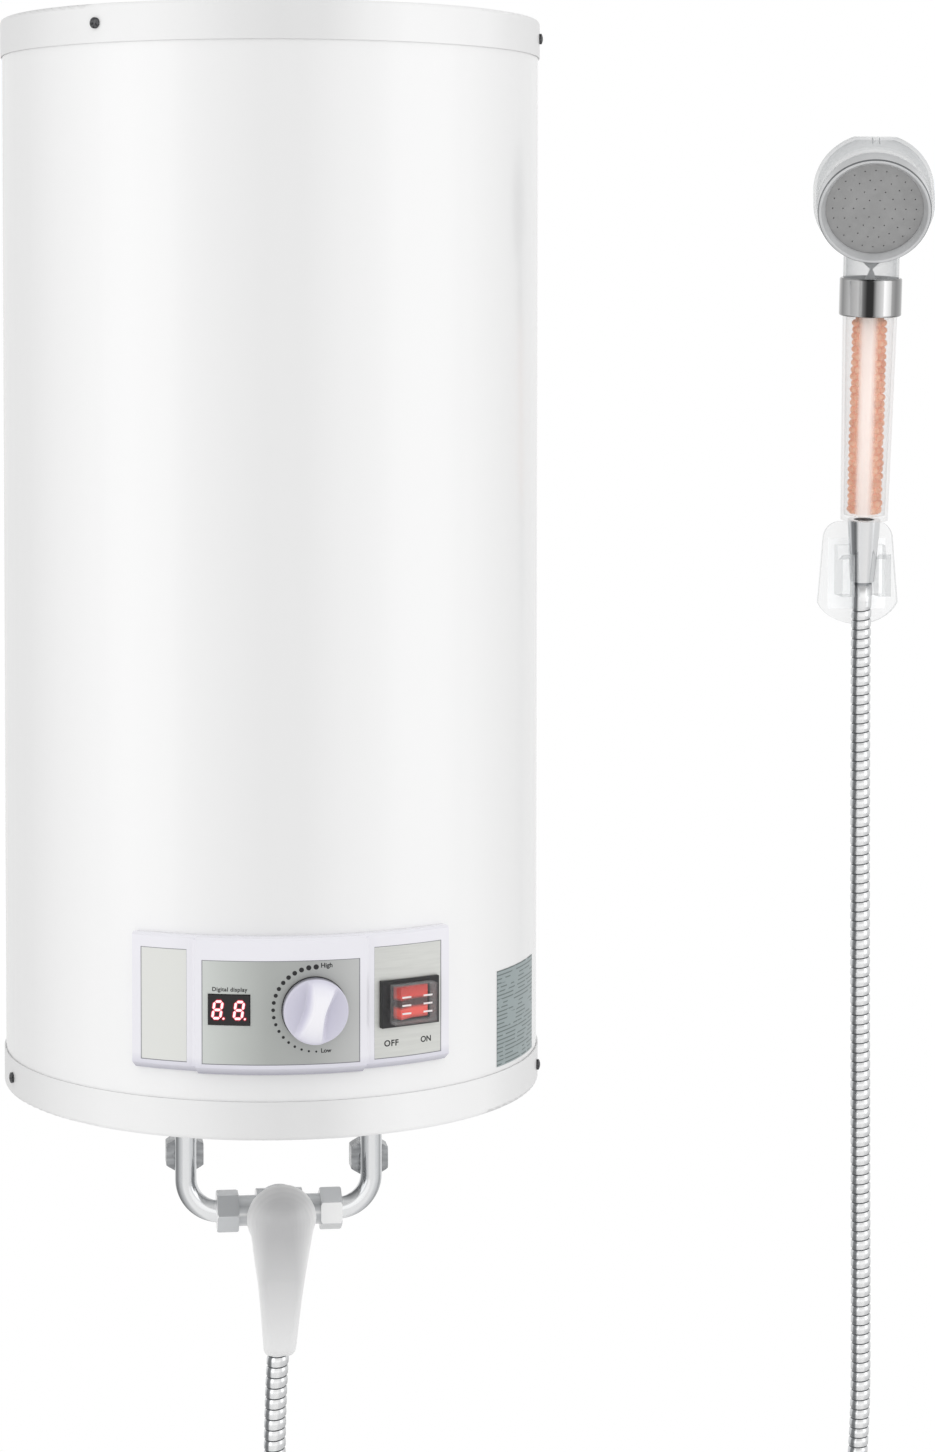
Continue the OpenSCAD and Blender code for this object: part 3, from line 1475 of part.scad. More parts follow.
// Clear handle: a tapered tube with a floor and a spigot that screws into the cone nut
module handset_handle() {
  color("#e9eef055") on_hand()
    difference() {
      union() {
        translate([0, 0, handle_z + eps])
          cylinder(d1 = handle_d0, d2 = handle_d1, h = handle_len);
        translate([0, 0, handle_z - spigot_len]) cylinder(d = spigot_d, h = spigot_len + 1);
      }
      translate([0, 0, handle_z + handle_floor])
        cylinder(d1 = handle_d0 - 2 * handle_wall, d2 = handle_d1 - 2 * handle_wall,
          h = handle_len);
      translate([0, 0, handle_z - spigot_len - 1]) cylinder(d = hose_bore, h = 30);
    }
}

// Column of mineral beads in its inner tube, with a cap at the top
module mineral_beads() {
  color("#d9956b") on_hand() translate([0, 0, bead_z + tiny]) {
    cylinder(d = bead_d, h = bead_h);
    cylinder(d = bead_d - 6, h = bead_h + 3);
  }
}

module handset_collar() {
  color("#b9bbbd") on_hand()
    difference() {
      translate([0, 0, collar_z])
        rotate_extrude() {
          square([ring_collar_d / 2 - 1.5, ring_collar_h]);
          translate([0, 1.5]) square([ring_collar_d / 2, ring_collar_h - 3]);
          for (z = [1.5, ring_collar_h - 1.5])
            translate([ring_collar_d / 2 - 1.5, z]) circle(r = 1.5);
        }
      translate([0, 0, handle_z])
        cylinder(d1 = handle_d0 + 2 * seat_clear, d2 = handle_d1 + 2 * seat_clear, h = handle_len + tiny);
      translate([0, 0, handle_z + handle_len]) cylinder(d = neck_d - 2 * neck_wall - 3, h = 60);
      translate([0, 0, neck_z - tiny]) cylinder(d = neck_d + 2 * seat_clear, h = 60);
    }
}

// Frame of the spray face: z points back into the head
module at_face() {
  translate([0, -head_front, head_up]) rotate([head_tilt - 90, 0, 0]) children();
}

// Half section of the head's outside, drawn in by a wall
module head_section(wall) {
  r = head_d / 2 - wall;
  seat_h = skirt_z + 2.5;
  round_r = 15 - wall;
  back = head_depth - wall;
  square([r - round_r, back]);
  square([ring_seat_r - wall, seat_h + wall]);
  translate([0, seat_h + wall]) square([r, back - round_r - seat_h - wall]);
  translate([r - round_r, back - round_r]) circle(r = round_r);
}

module head_form(wall) {
  rotate_extrude() intersection() {
    head_section(wall);
    square([head_d, head_depth]);
  }
}

// Head form with the flat on its top, drawn in by a wall
module head_solid(wall) {
  difference() {
    at_face() translate([0, 0, -sign(wall)]) head_form(wall);
    translate([-head_d, -head_d, head_up + head_top - wall]) cube([2 * head_d, 2 * head_d, head_d]);
  }
}

// Clear head and neck in one moulding
module handset_head() {
  neck_top = head_up - 0.15 * head_d;
  bore_d = neck_d - 2 * neck_wall;
  color("#e9eef055") on_hand() rotate([0, 0, hand_turn])
    difference() {
      union() {
        head_solid(0);
        difference() {
          translate([0, 0, neck_z]) cylinder(d = neck_d, h = neck_top - neck_z);
          at_face() ring_room();
        }
      }
      head_solid(head_wall);
      difference() {
        translate([0, 0, neck_z - 1]) cylinder(d = bore_d, h = neck_top - neck_z - 1);
        at_face() translate([0, 0, -head_d])
          cylinder(d = spray_ring_d + 5, h = head_d + skirt_z + 2.2);
      }
    }
}

// Room for the spray ring in front of the head and round its seat
module ring_room() {
  room_d = spray_ring_d + 1;
  translate([0, 0, -head_d]) cylinder(d = room_d, h = head_d);
  translate([0, 0, -1]) tube(room_d, 2 * ring_seat_r + 2 * eps, skirt_z + 1.3);
}

// Guide in the neck: a ring with a waisted vane on it
module neck_strainer() {
  half_w = 10.5;
  waist = strainer_h - 9;
  color("#8d9092") on_hand() rotate([0, 0, hand_turn]) translate([0, 0, neck_z]) {
    tube(neck_d - 2 * neck_wall - 2 * tiny, 16, 2);
    translate([0, 0.8, 0]) rotate([90, 0, 0]) linear_extrude(height = 1.6)
      polygon([[-half_w, 0], [half_w, 0], [1, waist], [half_w, strainer_h], [-half_w, strainer_h], [-1, waist]]);
  }
}

// Chrome ring that clamps the spray plate on the head
module spray_ring() {
  lip_r = spray_plate_d / 2 - 2.5;
  ring_r = spray_ring_d / 2;
  skirt_r = ring_seat_r + seat_clear;
  clamp_z = -spray_plate_t - seat_clear;
  rim_z = clamp_z - ring_proud;
  color("#cfd1d3") on_hand() rotate([0, 0, hand_turn]) at_face()
    rotate_extrude()
      polygon([[lip_r, clamp_z], [lip_r, clamp_z - 1.2], [ring_r - 2.6, rim_z], [ring_r - 0.9, rim_z],
        [ring_r, rim_z + 1.5], [ring_r, skirt_z], [skirt_r, skirt_z], [skirt_r, clamp_z]]);
}

// Steel spray plate with rings of fine holes
module spray_plate() {
  color("#9d9fa1") on_hand() rotate([0, 0, hand_turn]) at_face()
    translate([0, 0, -spray_plate_t])
      difference() {
        cylinder(d = spray_plate_d, h = spray_plate_t - eps);
        for (ringno = [1 : 4], k = [0 : 6 * ringno - 1])
          rotate([0, 0, 60 / ringno * k]) translate([spray_plate_d * 0.1 * ringno, 0, -1])
            cylinder(d = 1, h = 4);
      }
}

outer_casing();
top_cover();
bottom_cover();
top_cover_screws();
bottom_cover_screws();
insulation_foam();
inner_tank();
hanger_bracket();
hanger_bolts();
lower_spacer();
element_flange();
flange_gasket();
flange_bolts();
heating_element();
anode_rod();
sensor_pocket();
temperature_probe();
hot_outlet_pipe();
cold_inlet_pipe();
thermal_cutout();
cable_gland();
panel_frame();
blank_plate();
centre_plate();
switch_plate();
display_window();
display_digits();
control_board();
dial_control();
temperature_knob();
knob_shaft();
switch_housing();
switch_boot();
switch_rocker();
rocker_pin();
rating_plate();
hot_riser();
cold_riser();
riser_top_nuts();
mixer_union_nuts();
supply_union_nuts();
fibre_washers();
mixer_body();
mixer_cartridge();
mixer_dome();
cartridge_stem();
lever_pin();
mixer_lever();
hose_nut();
shower_hose();
shower_holder();
adhesive_pad();
hose_cone_nut();
handset_handle();
mineral_beads();
handset_collar();
handset_head();
neck_strainer();
spray_ring();
spray_plate();
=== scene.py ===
import math
import random

import bmesh
import bpy
from mathutils import Matrix, Vector


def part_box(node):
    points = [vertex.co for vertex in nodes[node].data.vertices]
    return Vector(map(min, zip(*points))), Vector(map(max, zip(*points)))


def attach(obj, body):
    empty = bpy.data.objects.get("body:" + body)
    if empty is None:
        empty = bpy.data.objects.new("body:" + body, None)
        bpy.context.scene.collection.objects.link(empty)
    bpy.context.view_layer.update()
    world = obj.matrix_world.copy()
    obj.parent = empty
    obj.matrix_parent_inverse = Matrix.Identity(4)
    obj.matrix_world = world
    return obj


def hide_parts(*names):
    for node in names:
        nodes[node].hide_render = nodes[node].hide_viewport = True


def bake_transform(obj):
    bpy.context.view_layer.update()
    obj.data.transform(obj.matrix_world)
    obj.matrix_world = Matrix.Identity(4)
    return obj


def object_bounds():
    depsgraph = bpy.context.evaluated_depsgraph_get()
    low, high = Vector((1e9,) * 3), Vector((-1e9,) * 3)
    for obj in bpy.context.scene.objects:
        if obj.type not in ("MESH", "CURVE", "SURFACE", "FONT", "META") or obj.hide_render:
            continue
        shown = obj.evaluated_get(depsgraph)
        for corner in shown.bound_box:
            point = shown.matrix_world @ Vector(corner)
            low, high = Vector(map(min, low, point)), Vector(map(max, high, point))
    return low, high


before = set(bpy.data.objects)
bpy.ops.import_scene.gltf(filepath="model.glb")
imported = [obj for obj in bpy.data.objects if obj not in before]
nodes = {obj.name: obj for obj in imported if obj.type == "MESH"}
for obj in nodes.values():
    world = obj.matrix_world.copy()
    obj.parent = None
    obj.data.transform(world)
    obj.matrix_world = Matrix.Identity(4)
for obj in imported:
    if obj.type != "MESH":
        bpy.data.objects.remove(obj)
cad_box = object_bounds()


# Wall hanger: a pressed plate with two webs and a saddle, bolted to the back of the casing.
# It is galvanised mild steel, so dull blue-grey zinc crystals show in soft patches.
def tint(colour):
    """Linear RGBA of an sRGB hex colour."""
    parts = [int(colour[i:i + 2], 16) / 255 for i in (1, 3, 5)]
    return [c / 12.92 if c <= 0.04045 else ((c + 0.055) / 1.055) ** 2.4 for c in parts] + [1.0]


def add(tree, kind, values=None, links=None, **settings):
    """A new shader node with its settings, its socket values and the links into it."""
    new = tree.nodes.new(kind)
    for key, value in settings.items():
        setattr(new, key, value)
    for key, value in (values or {}).items():
        new.inputs[key].default_value = value
    for key, source in (links or {}).items():
        tree.links.new(source, new.inputs[key])
    return new


def surface(name, colour, **sockets):
    """A material whose shader has this colour; other sockets are named with _ for a space."""
    material = bpy.data.materials.new(name)
    material.use_nodes = True
    shader = material.node_tree.nodes["Principled BSDF"]
    shader.inputs["Base Color"].default_value = tint(colour)
    for key, value in sockets.items():
        shader.inputs[key.replace("_", " ")].default_value = value
    return material


def toned(material, share, stops, *sockets):
    """Colours sockets of a material by a value from 0 to 1, between stops of a place and a colour."""
    tree = material.node_tree
    ramp = add(tree, "ShaderNodeValToRGB", links={"Fac": share})
    marks = ramp.color_ramp.elements
    for where, colour in stops[1:-1]:
        marks.new(where).color = tint(colour)
    for k, (where, colour) in ((0, stops[0]), (len(stops) - 1, stops[-1])):
        marks[k].position = where
        marks[k].color = tint(colour)
    for socket in sockets or ("Base Color",):
        tree.links.new(ramp.outputs["Color"], tree.nodes["Principled BSDF"].inputs[socket])
    return material


def per_metre(size_mm):
    """Scale of a pattern that repeats at a size."""
    return 1000.0 / size_mm


def mottle(material, dark, light, size_mm, stretch=(1, 1, 1), detail=3.0):
    """Varies the colour between two tints in patches of a size; stretch makes them long."""
    tree = material.node_tree
    place = add(tree, "ShaderNodeTexCoord")
    fit = add(tree, "ShaderNodeMapping", {"Scale": stretch}, {"Vector": place.outputs["Object"]})
    noise = add(tree, "ShaderNodeTexNoise", {"Scale": per_metre(size_mm), "Detail": detail},
                {"Vector": fit.outputs["Vector"]})
    return toned(material, noise.outputs["Fac"], [(0.3, dark), (0.7, light)])


def grain(material, size_mm, depth_mm, stretch=(1, 1, 1), detail=2.0):
    """Roughens the surface with a grain of a size and a depth."""
    tree = material.node_tree
    place = add(tree, "ShaderNodeTexCoord")
    fit = add(tree, "ShaderNodeMapping", {"Scale": stretch}, {"Vector": place.outputs["Object"]})
    noise = add(tree, "ShaderNodeTexNoise", {"Scale": per_metre(size_mm), "Detail": detail},
                {"Vector": fit.outputs["Vector"]})
    bump = add(tree, "ShaderNodeBump", {"Strength": 1.0, "Distance": depth_mm / 1000},
               {"Height": noise.outputs["Fac"]})
    tree.links.new(bump.outputs["Normal"], tree.nodes["Principled BSDF"].inputs["Normal"])
    return material


def dress(material, *names):
    """Gives CAD nodes a material."""
    for name in names:
        nodes[name].data.materials.clear()
        nodes[name].data.materials.append(material)


zinc = surface("galvanised_steel", "#B4B8BC", Metallic=1.0, Roughness=0.42)
mottle(zinc, "#A6ABB0", "#C3C7CA", 9)
grain(zinc, 3, 0.02)
dress(zinc, "hanger_bracket", "hanger_bolts")

# Lower spacer: a hollow plastic block that keeps the heater upright on the wall.
# It is moulded polypropylene, matt and a little waxy.
spacer_plastic = grain(surface("polypropylene_pale_grey", "#D9D9D9", Roughness=0.55), 0.8, 0.03)
dress(spacer_plastic, "lower_spacer")

# Water tank with its pipes: welded steel, glass-enamelled, sealed inside the casing.
# The enamel is blue-grey and glossy, with a faint orange peel from the firing.
enamel = surface("vitreous_enamel", "#8D96A0", Roughness=0.22)
mottle(enamel, "#87909A", "#959EA7", 30)
grain(enamel, 4, 0.05)
dress(enamel, "inner_tank", "hot_outlet_pipe", "cold_inlet_pipe")

# Insulation: polyurethane foam poured between tank and casing.
# It is cream-coloured with fine open cells.
foam = surface("polyurethane_foam", "#E6DBB6", Roughness=0.9)
mottle(foam, "#DED1A6", "#EFE6C8", 3)
grain(foam, 1.5, 0.4)
dress(foam, "insulation_foam")

# Element flange and what it carries: a zinc-plated plate on a rubber gasket, six bolts, a copper
# hairpin element, a cast magnesium anode and a copper sensor pocket with its probe.
dress(zinc, "element_flange", "flange_bolts")
gasket_rubber = grain(surface("moulded_rubber", "#242424", Roughness=0.7), 1, 0.03)
dress(gasket_rubber, "flange_gasket")
copper = surface("drawn_copper", "#B9764E", Metallic=1.0, Roughness=0.32)
mottle(copper, "#A96A45", "#C88660", 6, (1, 1, 0.1))
dress(copper, "heating_element", "sensor_pocket")
magnesium = surface("cast_magnesium", "#8F9193", Metallic=1.0, Roughness=0.6)
grain(mottle(magnesium, "#7F8183", "#9D9FA1", 5), 2, 0.1)
dress(magnesium, "anode_rod")
plain_steel = surface("turned_steel", "#A9ACAF", Metallic=1.0, Roughness=0.3)
mottle(plain_steel, "#9DA0A3", "#B5B8BB", 2, (1, 1, 0.2))
dress(plain_steel, "temperature_probe", "dial_control", "knob_shaft", "rocker_pin", "lever_pin")

# Bottom bay parts: the thermal cutout on the flange and the cable gland in the bottom cover.
# Both are black glass-filled nylon, satin with a fine moulded grain.
black_nylon = grain(surface("glass_filled_nylon", "#232326", Roughness=0.45), 0.6, 0.02)
dress(black_nylon, "thermal_cutout", "cable_gland")

# Casing: a sheet rolled into a tube, phosphated and stove-enamelled white, glossy and level.
# Its tones by angle were worked out from the photograph's brightness, so they hold that picture's light.
casing_low, casing_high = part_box("outer_casing")
axis_y = (casing_low[1] + casing_high[1]) / 2
casing_r = (casing_high[0] - casing_low[0]) / 2
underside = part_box("bottom_cover")[0][2]


def by_angle(material, stops, source="Normal", centre=(0.0, 0.0), socket="Base Color"):
    """Colours a surface by the angle its normal, or its place round a centre, makes with the front."""
    tree = material.node_tree
    place = add(tree, "ShaderNodeTexCoord")
    to_front = {"Rotation": (0, 0, math.pi / 2), "Location": (centre[1], -centre[0], 0)}
    fit = add(tree, "ShaderNodeMapping", to_front, {"Vector": place.outputs[source]})
    turn = add(tree, "ShaderNodeTexGradient", links={"Vector": fit.outputs["Vector"]}, gradient_type="RADIAL")
    shares = [(0.5 + degrees / 360, colour) for degrees, colour in stops]
    return toned(material, turn.outputs["Fac"], shares, socket)


casing_paint = surface("stove_enamel_white", "#F2F2F3", Roughness=0.24, Coat_Weight=0.3,
                       Coat_Roughness=0.12)
casing_tones = [
    (-180, "#E8E8E8"), (-82, "#DDDDDD"), (-75, "#E1E1E1"), (-65, "#E6E6E6"), (-54, "#F1F1F1"),
    (-44, "#F8F8F8"), (-34, "#FAFAFA"), (-25, "#F8F8F8"), (-16, "#F2F2F2"), (-6, "#ECECEC"),
    (2, "#ECECEC"), (10, "#F3F3F3"), (20, "#F8F8F8"), (40, "#F7F7F7"), (51, "#EFEFEF"),
    (60, "#E9E9E9"), (73, "#E5E5E5"), (180, "#E8E8E8")]
by_angle(casing_paint, casing_tones, "Object", (0, axis_y))
grain(casing_paint, 6, 0.004, detail=1.0)
dress(casing_paint, "outer_casing")

# Covers: two pressed lids that slip over the ends of the casing.
# They are powder-coated, a shade greyer and less glossy than the enamelled tube.
# Their tones by angle began as the casing's and were set against the photograph's brightness too.
cover_paint = surface("powder_coat_white", "#E8E8E9", Roughness=0.36, Coat_Weight=0.1)
# The lids' tones by angle are painted highlights and painted shade, in upright bands round each lid.
cover_painted_light = [
    (-180, "#DCDCDC"), (-82, "#D5D5D5"), (-65, "#DFDFDF"), (-54, "#EBEBEB"), (-40, "#F5F5F5"),
    (-30, "#F5F5F5"), (-20, "#F0F0F0"), (-11, "#E7E7E7"), (-3, "#E2E2E2"), (6, "#E4E4E4"),
    (15, "#F2F2F2"), (24, "#F8F8F8"), (34, "#F6F6F6"), (45, "#F3F3F3"), (54, "#E8E8E8"),
    (73, "#DBDBDB"), (180, "#DCDCDC")]
by_angle(cover_paint, cover_painted_light)
grain(cover_paint, 1.2, 0.006, detail=1.0)
dress(cover_paint, "top_cover", "bottom_cover")

# Cover screws: pan-head self-tapping screws, three in each cover.
# They are black-oxidised steel, mottled darker and paler in small patches.
black_oxide = surface("black_oxide_steel", "#4A4A4C", Metallic=1.0, Roughness=0.38)
mottle(black_oxide, "#2C2C2E", "#6E6E70", 1.5)
dress(black_oxide, "top_cover_screws", "bottom_cover_screws")

# Rating plate: printed aluminium foil glued to the casing, to the right of the panel.
# Thin ruled lines in darker grey cross its satin silver-grey, some of them broken.
rating_foil = surface("printed_foil", "#9AA5A6", Metallic=0.35, Roughness=0.42)
tree = rating_foil.node_tree
place = add(tree, "ShaderNodeTexCoord")
line_pitch_mm = 2.8
break_mm = 9
lines = add(tree, "ShaderNodeTexWave", {"Scale": per_metre(line_pitch_mm) / 10 * math.pi, "Distortion": 0.0},
            {"Vector": place.outputs["Object"]}, wave_type="BANDS", bands_direction="Z")
broken_mm = (break_mm, break_mm, 2 * line_pitch_mm)
fit = add(tree, "ShaderNodeMapping", {"Scale": [per_metre(v) for v in broken_mm]},
          {"Vector": place.outputs["Object"]})
breaks = add(tree, "ShaderNodeTexNoise", {"Scale": 1.0, "Detail": 0.0}, {"Vector": fit.outputs["Vector"]})
short = add(tree, "ShaderNodeMapRange", {"From Min": 0.56, "From Max": 0.6}, {"Value": breaks.outputs["Fac"]})
ruled = add(tree, "ShaderNodeMath", links={0: lines.outputs["Fac"], 1: short.outputs["Result"]},
            operation="MAXIMUM")
toned(rating_foil, ruled.outputs[0], [(0.12, "#6B7574"), (0.34, "#9AA5A6")])
dress(rating_foil, "rating_plate")


# Panel frame: one curved moulding that clips over the window in the casing, its middle raised.
# It is gloss ABS with a lavender cast, and all its edges are softly rounded by the mould.
# The shade along its lower edge is toned in, as photographed.
def link(obj):
    """Puts an object in the scene."""
    bpy.context.scene.collection.objects.link(obj)
    return obj


def welded(name):
    """An editable copy of a CAD node's mesh, with the points that coincide made one."""
    soft = bmesh.new()
    soft.from_mesh(nodes[name].data)
    bmesh.ops.remove_doubles(soft, verts=soft.verts, dist=2e-6)
    return soft


def unsharpened(soft, name):
    """A mesh from an editable copy, without the CAD node's own normals and sharp marks."""
    mesh = bpy.data.meshes.new(name)
    soft.to_mesh(mesh)
    soft.free()
    for layer in ("custom_normal", "sharp_edge", "sharp_face"):
        if layer in mesh.attributes:
            mesh.attributes.remove(mesh.attributes[layer])
    return mesh


def rounded(name, radius_mm, material, body, segments=3, angle=32):
    """A copy of a CAD node with its sharp edges rounded, in place of the node."""
    soft = welded(name)
    bmesh.ops.dissolve_limit(soft, angle_limit=math.radians(0.4), verts=soft.verts, edges=soft.edges)
    mesh = unsharpened(soft, name + "_rounded")
    mesh.shade_smooth()
    obj = link(bpy.data.objects.new(name + "_rounded", mesh))
    bevel = obj.modifiers.new("mould_radius", "BEVEL")
    bevel.width = radius_mm / 1000
    bevel.segments = segments
    bevel.limit_method = "ANGLE"
    bevel.angle_limit = math.radians(angle)
    bevel.harden_normals = True
    mesh.materials.clear()
    mesh.materials.append(material)
    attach(obj, body)
    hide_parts(name)
    return obj


def height_share(tree, low, high, source="Object"):
    """A shader value that runs from 0 to 1 between two heights of the place, or of the normal."""
    place = add(tree, "ShaderNodeTexCoord")
    split = add(tree, "ShaderNodeSeparateXYZ", links={"Vector": place.outputs[source]})
    run = add(tree, "ShaderNodeMapRange", {"From Min": low, "From Max": high}, {"Value": split.outputs["Z"]})
    return run.outputs["Result"]


panel_abs = surface("gloss_abs_lavender_white", "#F0EFF5", Roughness=0.2, Coat_Weight=0.2)
chin_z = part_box("panel_frame")[0][2]
chin_shade_h = 0.012
chin_shade = height_share(panel_abs.node_tree, chin_z, chin_z + chin_shade_h)
toned(panel_abs, chin_shade, [(0, "#A5A4B2"), (0.5, "#DEDDE7"), (1, "#F0EFF5")])
grain(panel_abs, 5, 0.006, detail=1.0)
rounded("panel_frame", 0.7, panel_abs, "heater")

# Plates: three printed films laid in the frame's pockets.
# The blank one is pale satin polycarbonate, the other two are brushed aluminium foil.
# The centre one's bands of light are toned in by angle, as photographed.
blank_film = surface("satin_polycarbonate", "#E4E5E1", Roughness=0.3)
grain(blank_film, 0.6, 0.004)
dress(blank_film, "blank_plate")
centre_foil = surface("brushed_aluminium_foil", "#BFC2BF", Metallic=0.3, Roughness=0.4)
centre_tones = [(-30, "#D3D7D3"), (-18, "#D3D7D3"), (-5, "#AFB2AF"), (3, "#AEB0AE"), (12, "#C4C5C4"),
                (30, "#C8C9C8")]
by_angle(centre_foil, centre_tones, "Object", (0, axis_y))
grain(centre_foil, 2, 0.004, (0.08, 0.08, 1), 4.0)
dress(centre_foil, "centre_plate")
switch_foil = surface("brushed_aluminium_foil_pale", "#CDCECA", Metallic=0.3, Roughness=0.4)
mottle(switch_foil, "#D0D1CD", "#D8D9D5", 2, (0.08, 0.08, 1), 4.0)
dress(switch_foil, "switch_plate")

# Lettering and dial marks: black ink screened on the plates, a few hundredths thick.
# Places are measured along the panel's arc from its middle, as the plates are.
panel_face_r = casing_r + 0.007
side_plate_r = panel_face_r - 0.0004
centre_plate_r = panel_face_r + 0.0026
control_z = underside + 0.089
centre_left = -0.06125
display_s = centre_left + 0.018
knob_s = centre_left + 0.0735
switch_s = 0.0795


def on_panel(s, r, z):
    """The point at a distance along the panel's arc, a radius and a height."""
    angle = s / panel_face_r
    return Vector((r * math.sin(angle), axis_y - r * math.cos(angle), z))


def on_flat(s, r, x, z):
    """The point on the plane that touches the arc at a place, x to its right and z above the controls."""
    out = Vector((math.sin(s / panel_face_r), -math.cos(s / panel_face_r), 0))
    return Vector((-out.y * x, axis_y + out.x * x, control_z + z)) + r * out


def piece(name, verts, faces, material, body, smooth=True):
    """A mesh object that moves with a body, or stands on its own where body is None."""
    mesh = bpy.data.meshes.new(name)
    mesh.from_pydata([tuple(v) for v in verts], [], faces)
    mesh.update()
    if smooth:
        mesh.shade_smooth()
    mesh.materials.append(material)
    obj = link(bpy.data.objects.new(name, mesh))
    if body:
        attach(obj, body)
    return obj


ink_thick = 0.00004
ink_weight = 0.04
cap_share = 0.69
# The same black serves the printed lettering and the painted shadow ring at the knob's foot.
black_ink_and_shadow = grain(surface("screen_ink_and_painted_shadow", "#1B1B1D", Roughness=0.5), 0.3, 0.005)


def lettering(name, words, cap_mm, s, z, radius, align="CENTER", spread=1.0):
    """Words in heavy ink, wrapped on the arc of the plate that carries them."""
    font = bpy.data.curves.new(name, "FONT")
    font.body = words
    font.size = cap_mm / 1000 / cap_share
    font.align_x = align
    font.align_y = "CENTER"
    font.space_character = spread
    font.offset = ink_weight * cap_mm / 1000
    font.extrude = ink_thick
    flat = link(bpy.data.objects.new(name + "_flat", font))
    bpy.context.view_layer.update()
    shape = flat.evaluated_get(bpy.context.evaluated_depsgraph_get()).to_mesh()
    verts = [on_panel(s + v.co.x, radius + ink_thick + v.co.z, z + v.co.y) for v in shape.vertices]
    faces = [tuple(p.vertices) for p in shape.polygons]
    bpy.data.objects.remove(flat)
    return piece(name, verts, faces, black_ink_and_shadow, "heater", smooth=False)


switch_word_z = underside + 0.0622
switch_word_side = 0.0133
lettering("word_off", "OFF", 3.9, switch_s - switch_word_side, switch_word_z, side_plate_r, spread=1.12)
lettering("word_on", "ON", 3.7, switch_s + switch_word_side, switch_word_z, side_plate_r)
dial_s = knob_s + 0.0012
dial_mark_r = 0.028
dial_word_s = dial_s + 0.0030
lettering("word_high", "High", 2.9, dial_word_s, control_z + dial_mark_r + 0.0008, centre_plate_r, "LEFT")
lettering("word_low", "Low", 2.7, dial_word_s, control_z - dial_mark_r + 0.0004, centre_plate_r, "LEFT")
display_word_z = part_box("display_window")[1][2] + 0.0032
lettering("word_display", "Digital display", 2.6, display_s + 0.0004, display_word_z, centre_plate_r,
          spread=1.08)


def round_points(radius, sides):
    """Points of a circle, anticlockwise from its right."""
    turns = [2 * math.pi * k / sides for k in range(sides)]
    return [(radius * math.cos(a), radius * math.sin(a)) for a in turns]


def prism(verts, faces, base, top):
    """Adds a closed prism between two rings of points, anticlockwise seen from the top."""
    first, n = len(verts), len(base)
    verts += base + top
    faces.append([first + k for k in reversed(range(n))])
    faces.append([first + n + k for k in range(n)])
    for k in range(n):
        m = (k + 1) % n
        faces.append([first + k, first + m, first + n + m, first + n + k])


mark_count = 19
mark_small, mark_large = 0.0007, 0.00175
verts, faces = [], []
for i in range(mark_count):
    share = i / (mark_count - 1)
    turn = math.pi * (1.5 - share)
    mark_s = dial_s + dial_mark_r * math.cos(turn)
    mark_z = control_z + dial_mark_r * math.sin(turn)
    spot = round_points(mark_small + (mark_large - mark_small) * share, 20)
    base, top = [[on_panel(mark_s + x, centre_plate_r + lift, mark_z + z) for x, z in spot]
                 for lift in (0, 2 * ink_thick)]
    prism(verts, faces, base, top)
piece("dial_marks", verts, faces, black_ink_and_shadow, "heater", smooth=False)


# Gaps round the plates: the narrow joint where each film ends inside its pocket.
# Thin matt grey lines give it the shade of a slit that little light reaches.
def box_mesh(corners, faces, low, high, place):
    """Adds a box between two corners of a frame to a list of points and faces."""
    first = len(corners)
    corners += [place(x, y, z) for x in (low[0], high[0]) for y in (low[1], high[1])
                for z in (low[2], high[2])]
    faces += [[first + k for k in quad] for quad in ((0, 1, 3, 2), (4, 6, 7, 5), (0, 4, 5, 1), (2, 3, 7, 6),
                                                     (0, 2, 6, 4), (1, 5, 7, 3))]


gap_grey = grain(surface("shadow_gap_grey", "#85858C", Roughness=0.6), 0.3, 0.005)
gap_w = 0.00045
gap_steps = 24
for plate, radius in (("blank_plate", side_plate_r), ("centre_plate", centre_plate_r),
                      ("switch_plate", side_plate_r)):
    low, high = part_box(plate)
    left, right = [panel_face_r * math.asin(x / radius) for x in (low[0], high[0])]
    step_s = (right - left) / gap_steps
    gap_top = radius + 2 * ink_thick
    verts, faces = [], []
    for z in (low[2], high[2]):
        for k in range(gap_steps):
            box_mesh(verts, faces, (left + step_s * k, radius, z - gap_w / 2),
                     (left + step_s * (k + 1), gap_top, z + gap_w / 2), on_panel)
    for s in (left, right):
        box_mesh(verts, faces, (s - gap_w / 2, radius, low[2]), (s + gap_w / 2, gap_top, high[2]), on_panel)
    piece(plate + "_gap", verts, faces, gap_grey, "heater", smooth=False)

# Display: a black glossy window with two lit seven-bar figures behind it.
# The bars glow pale pink where the light is strongest, with a red rim round each.
window_acrylic = surface("smoked_acrylic", "#120E10", Roughness=0.12)
mottle(window_acrylic, "#100C0E", "#151013", 4)
rounded("display_window", 0.6, window_acrylic, "heater")
lit_core = surface("lit_bar_core", "#FFC9CE", Roughness=0.3, Emission_Color=tint("#FFC2C8"),
                   Emission_Strength=0.9)
mottle(lit_core, "#FFC2C8", "#FFD6DA", 1)
lit_rim = surface("lit_bar_rim", "#C21F33", Roughness=0.4, Emission_Color=tint("#B01226"),
                  Emission_Strength=0.5)
mottle(lit_rim, "#B51B2E", "#CB2A3E", 1)
lit_glow = mottle(surface("lit_bar_glow", "#4A0A18", Roughness=0.4), "#440815", "#520D1C", 1)
digit_h = 0.0130
digit_w = 0.55 * digit_h
digit_lean = math.tan(math.radians(8))
bar_w = 0.0019
bar_thick = 0.00008
bar_gap = 0.00025
point_r = 0.0008
point_aside = 0.0012
digit_aside = 0.0004
digit_pitch = 0.0142
window_face = centre_plate_r + 0.0006


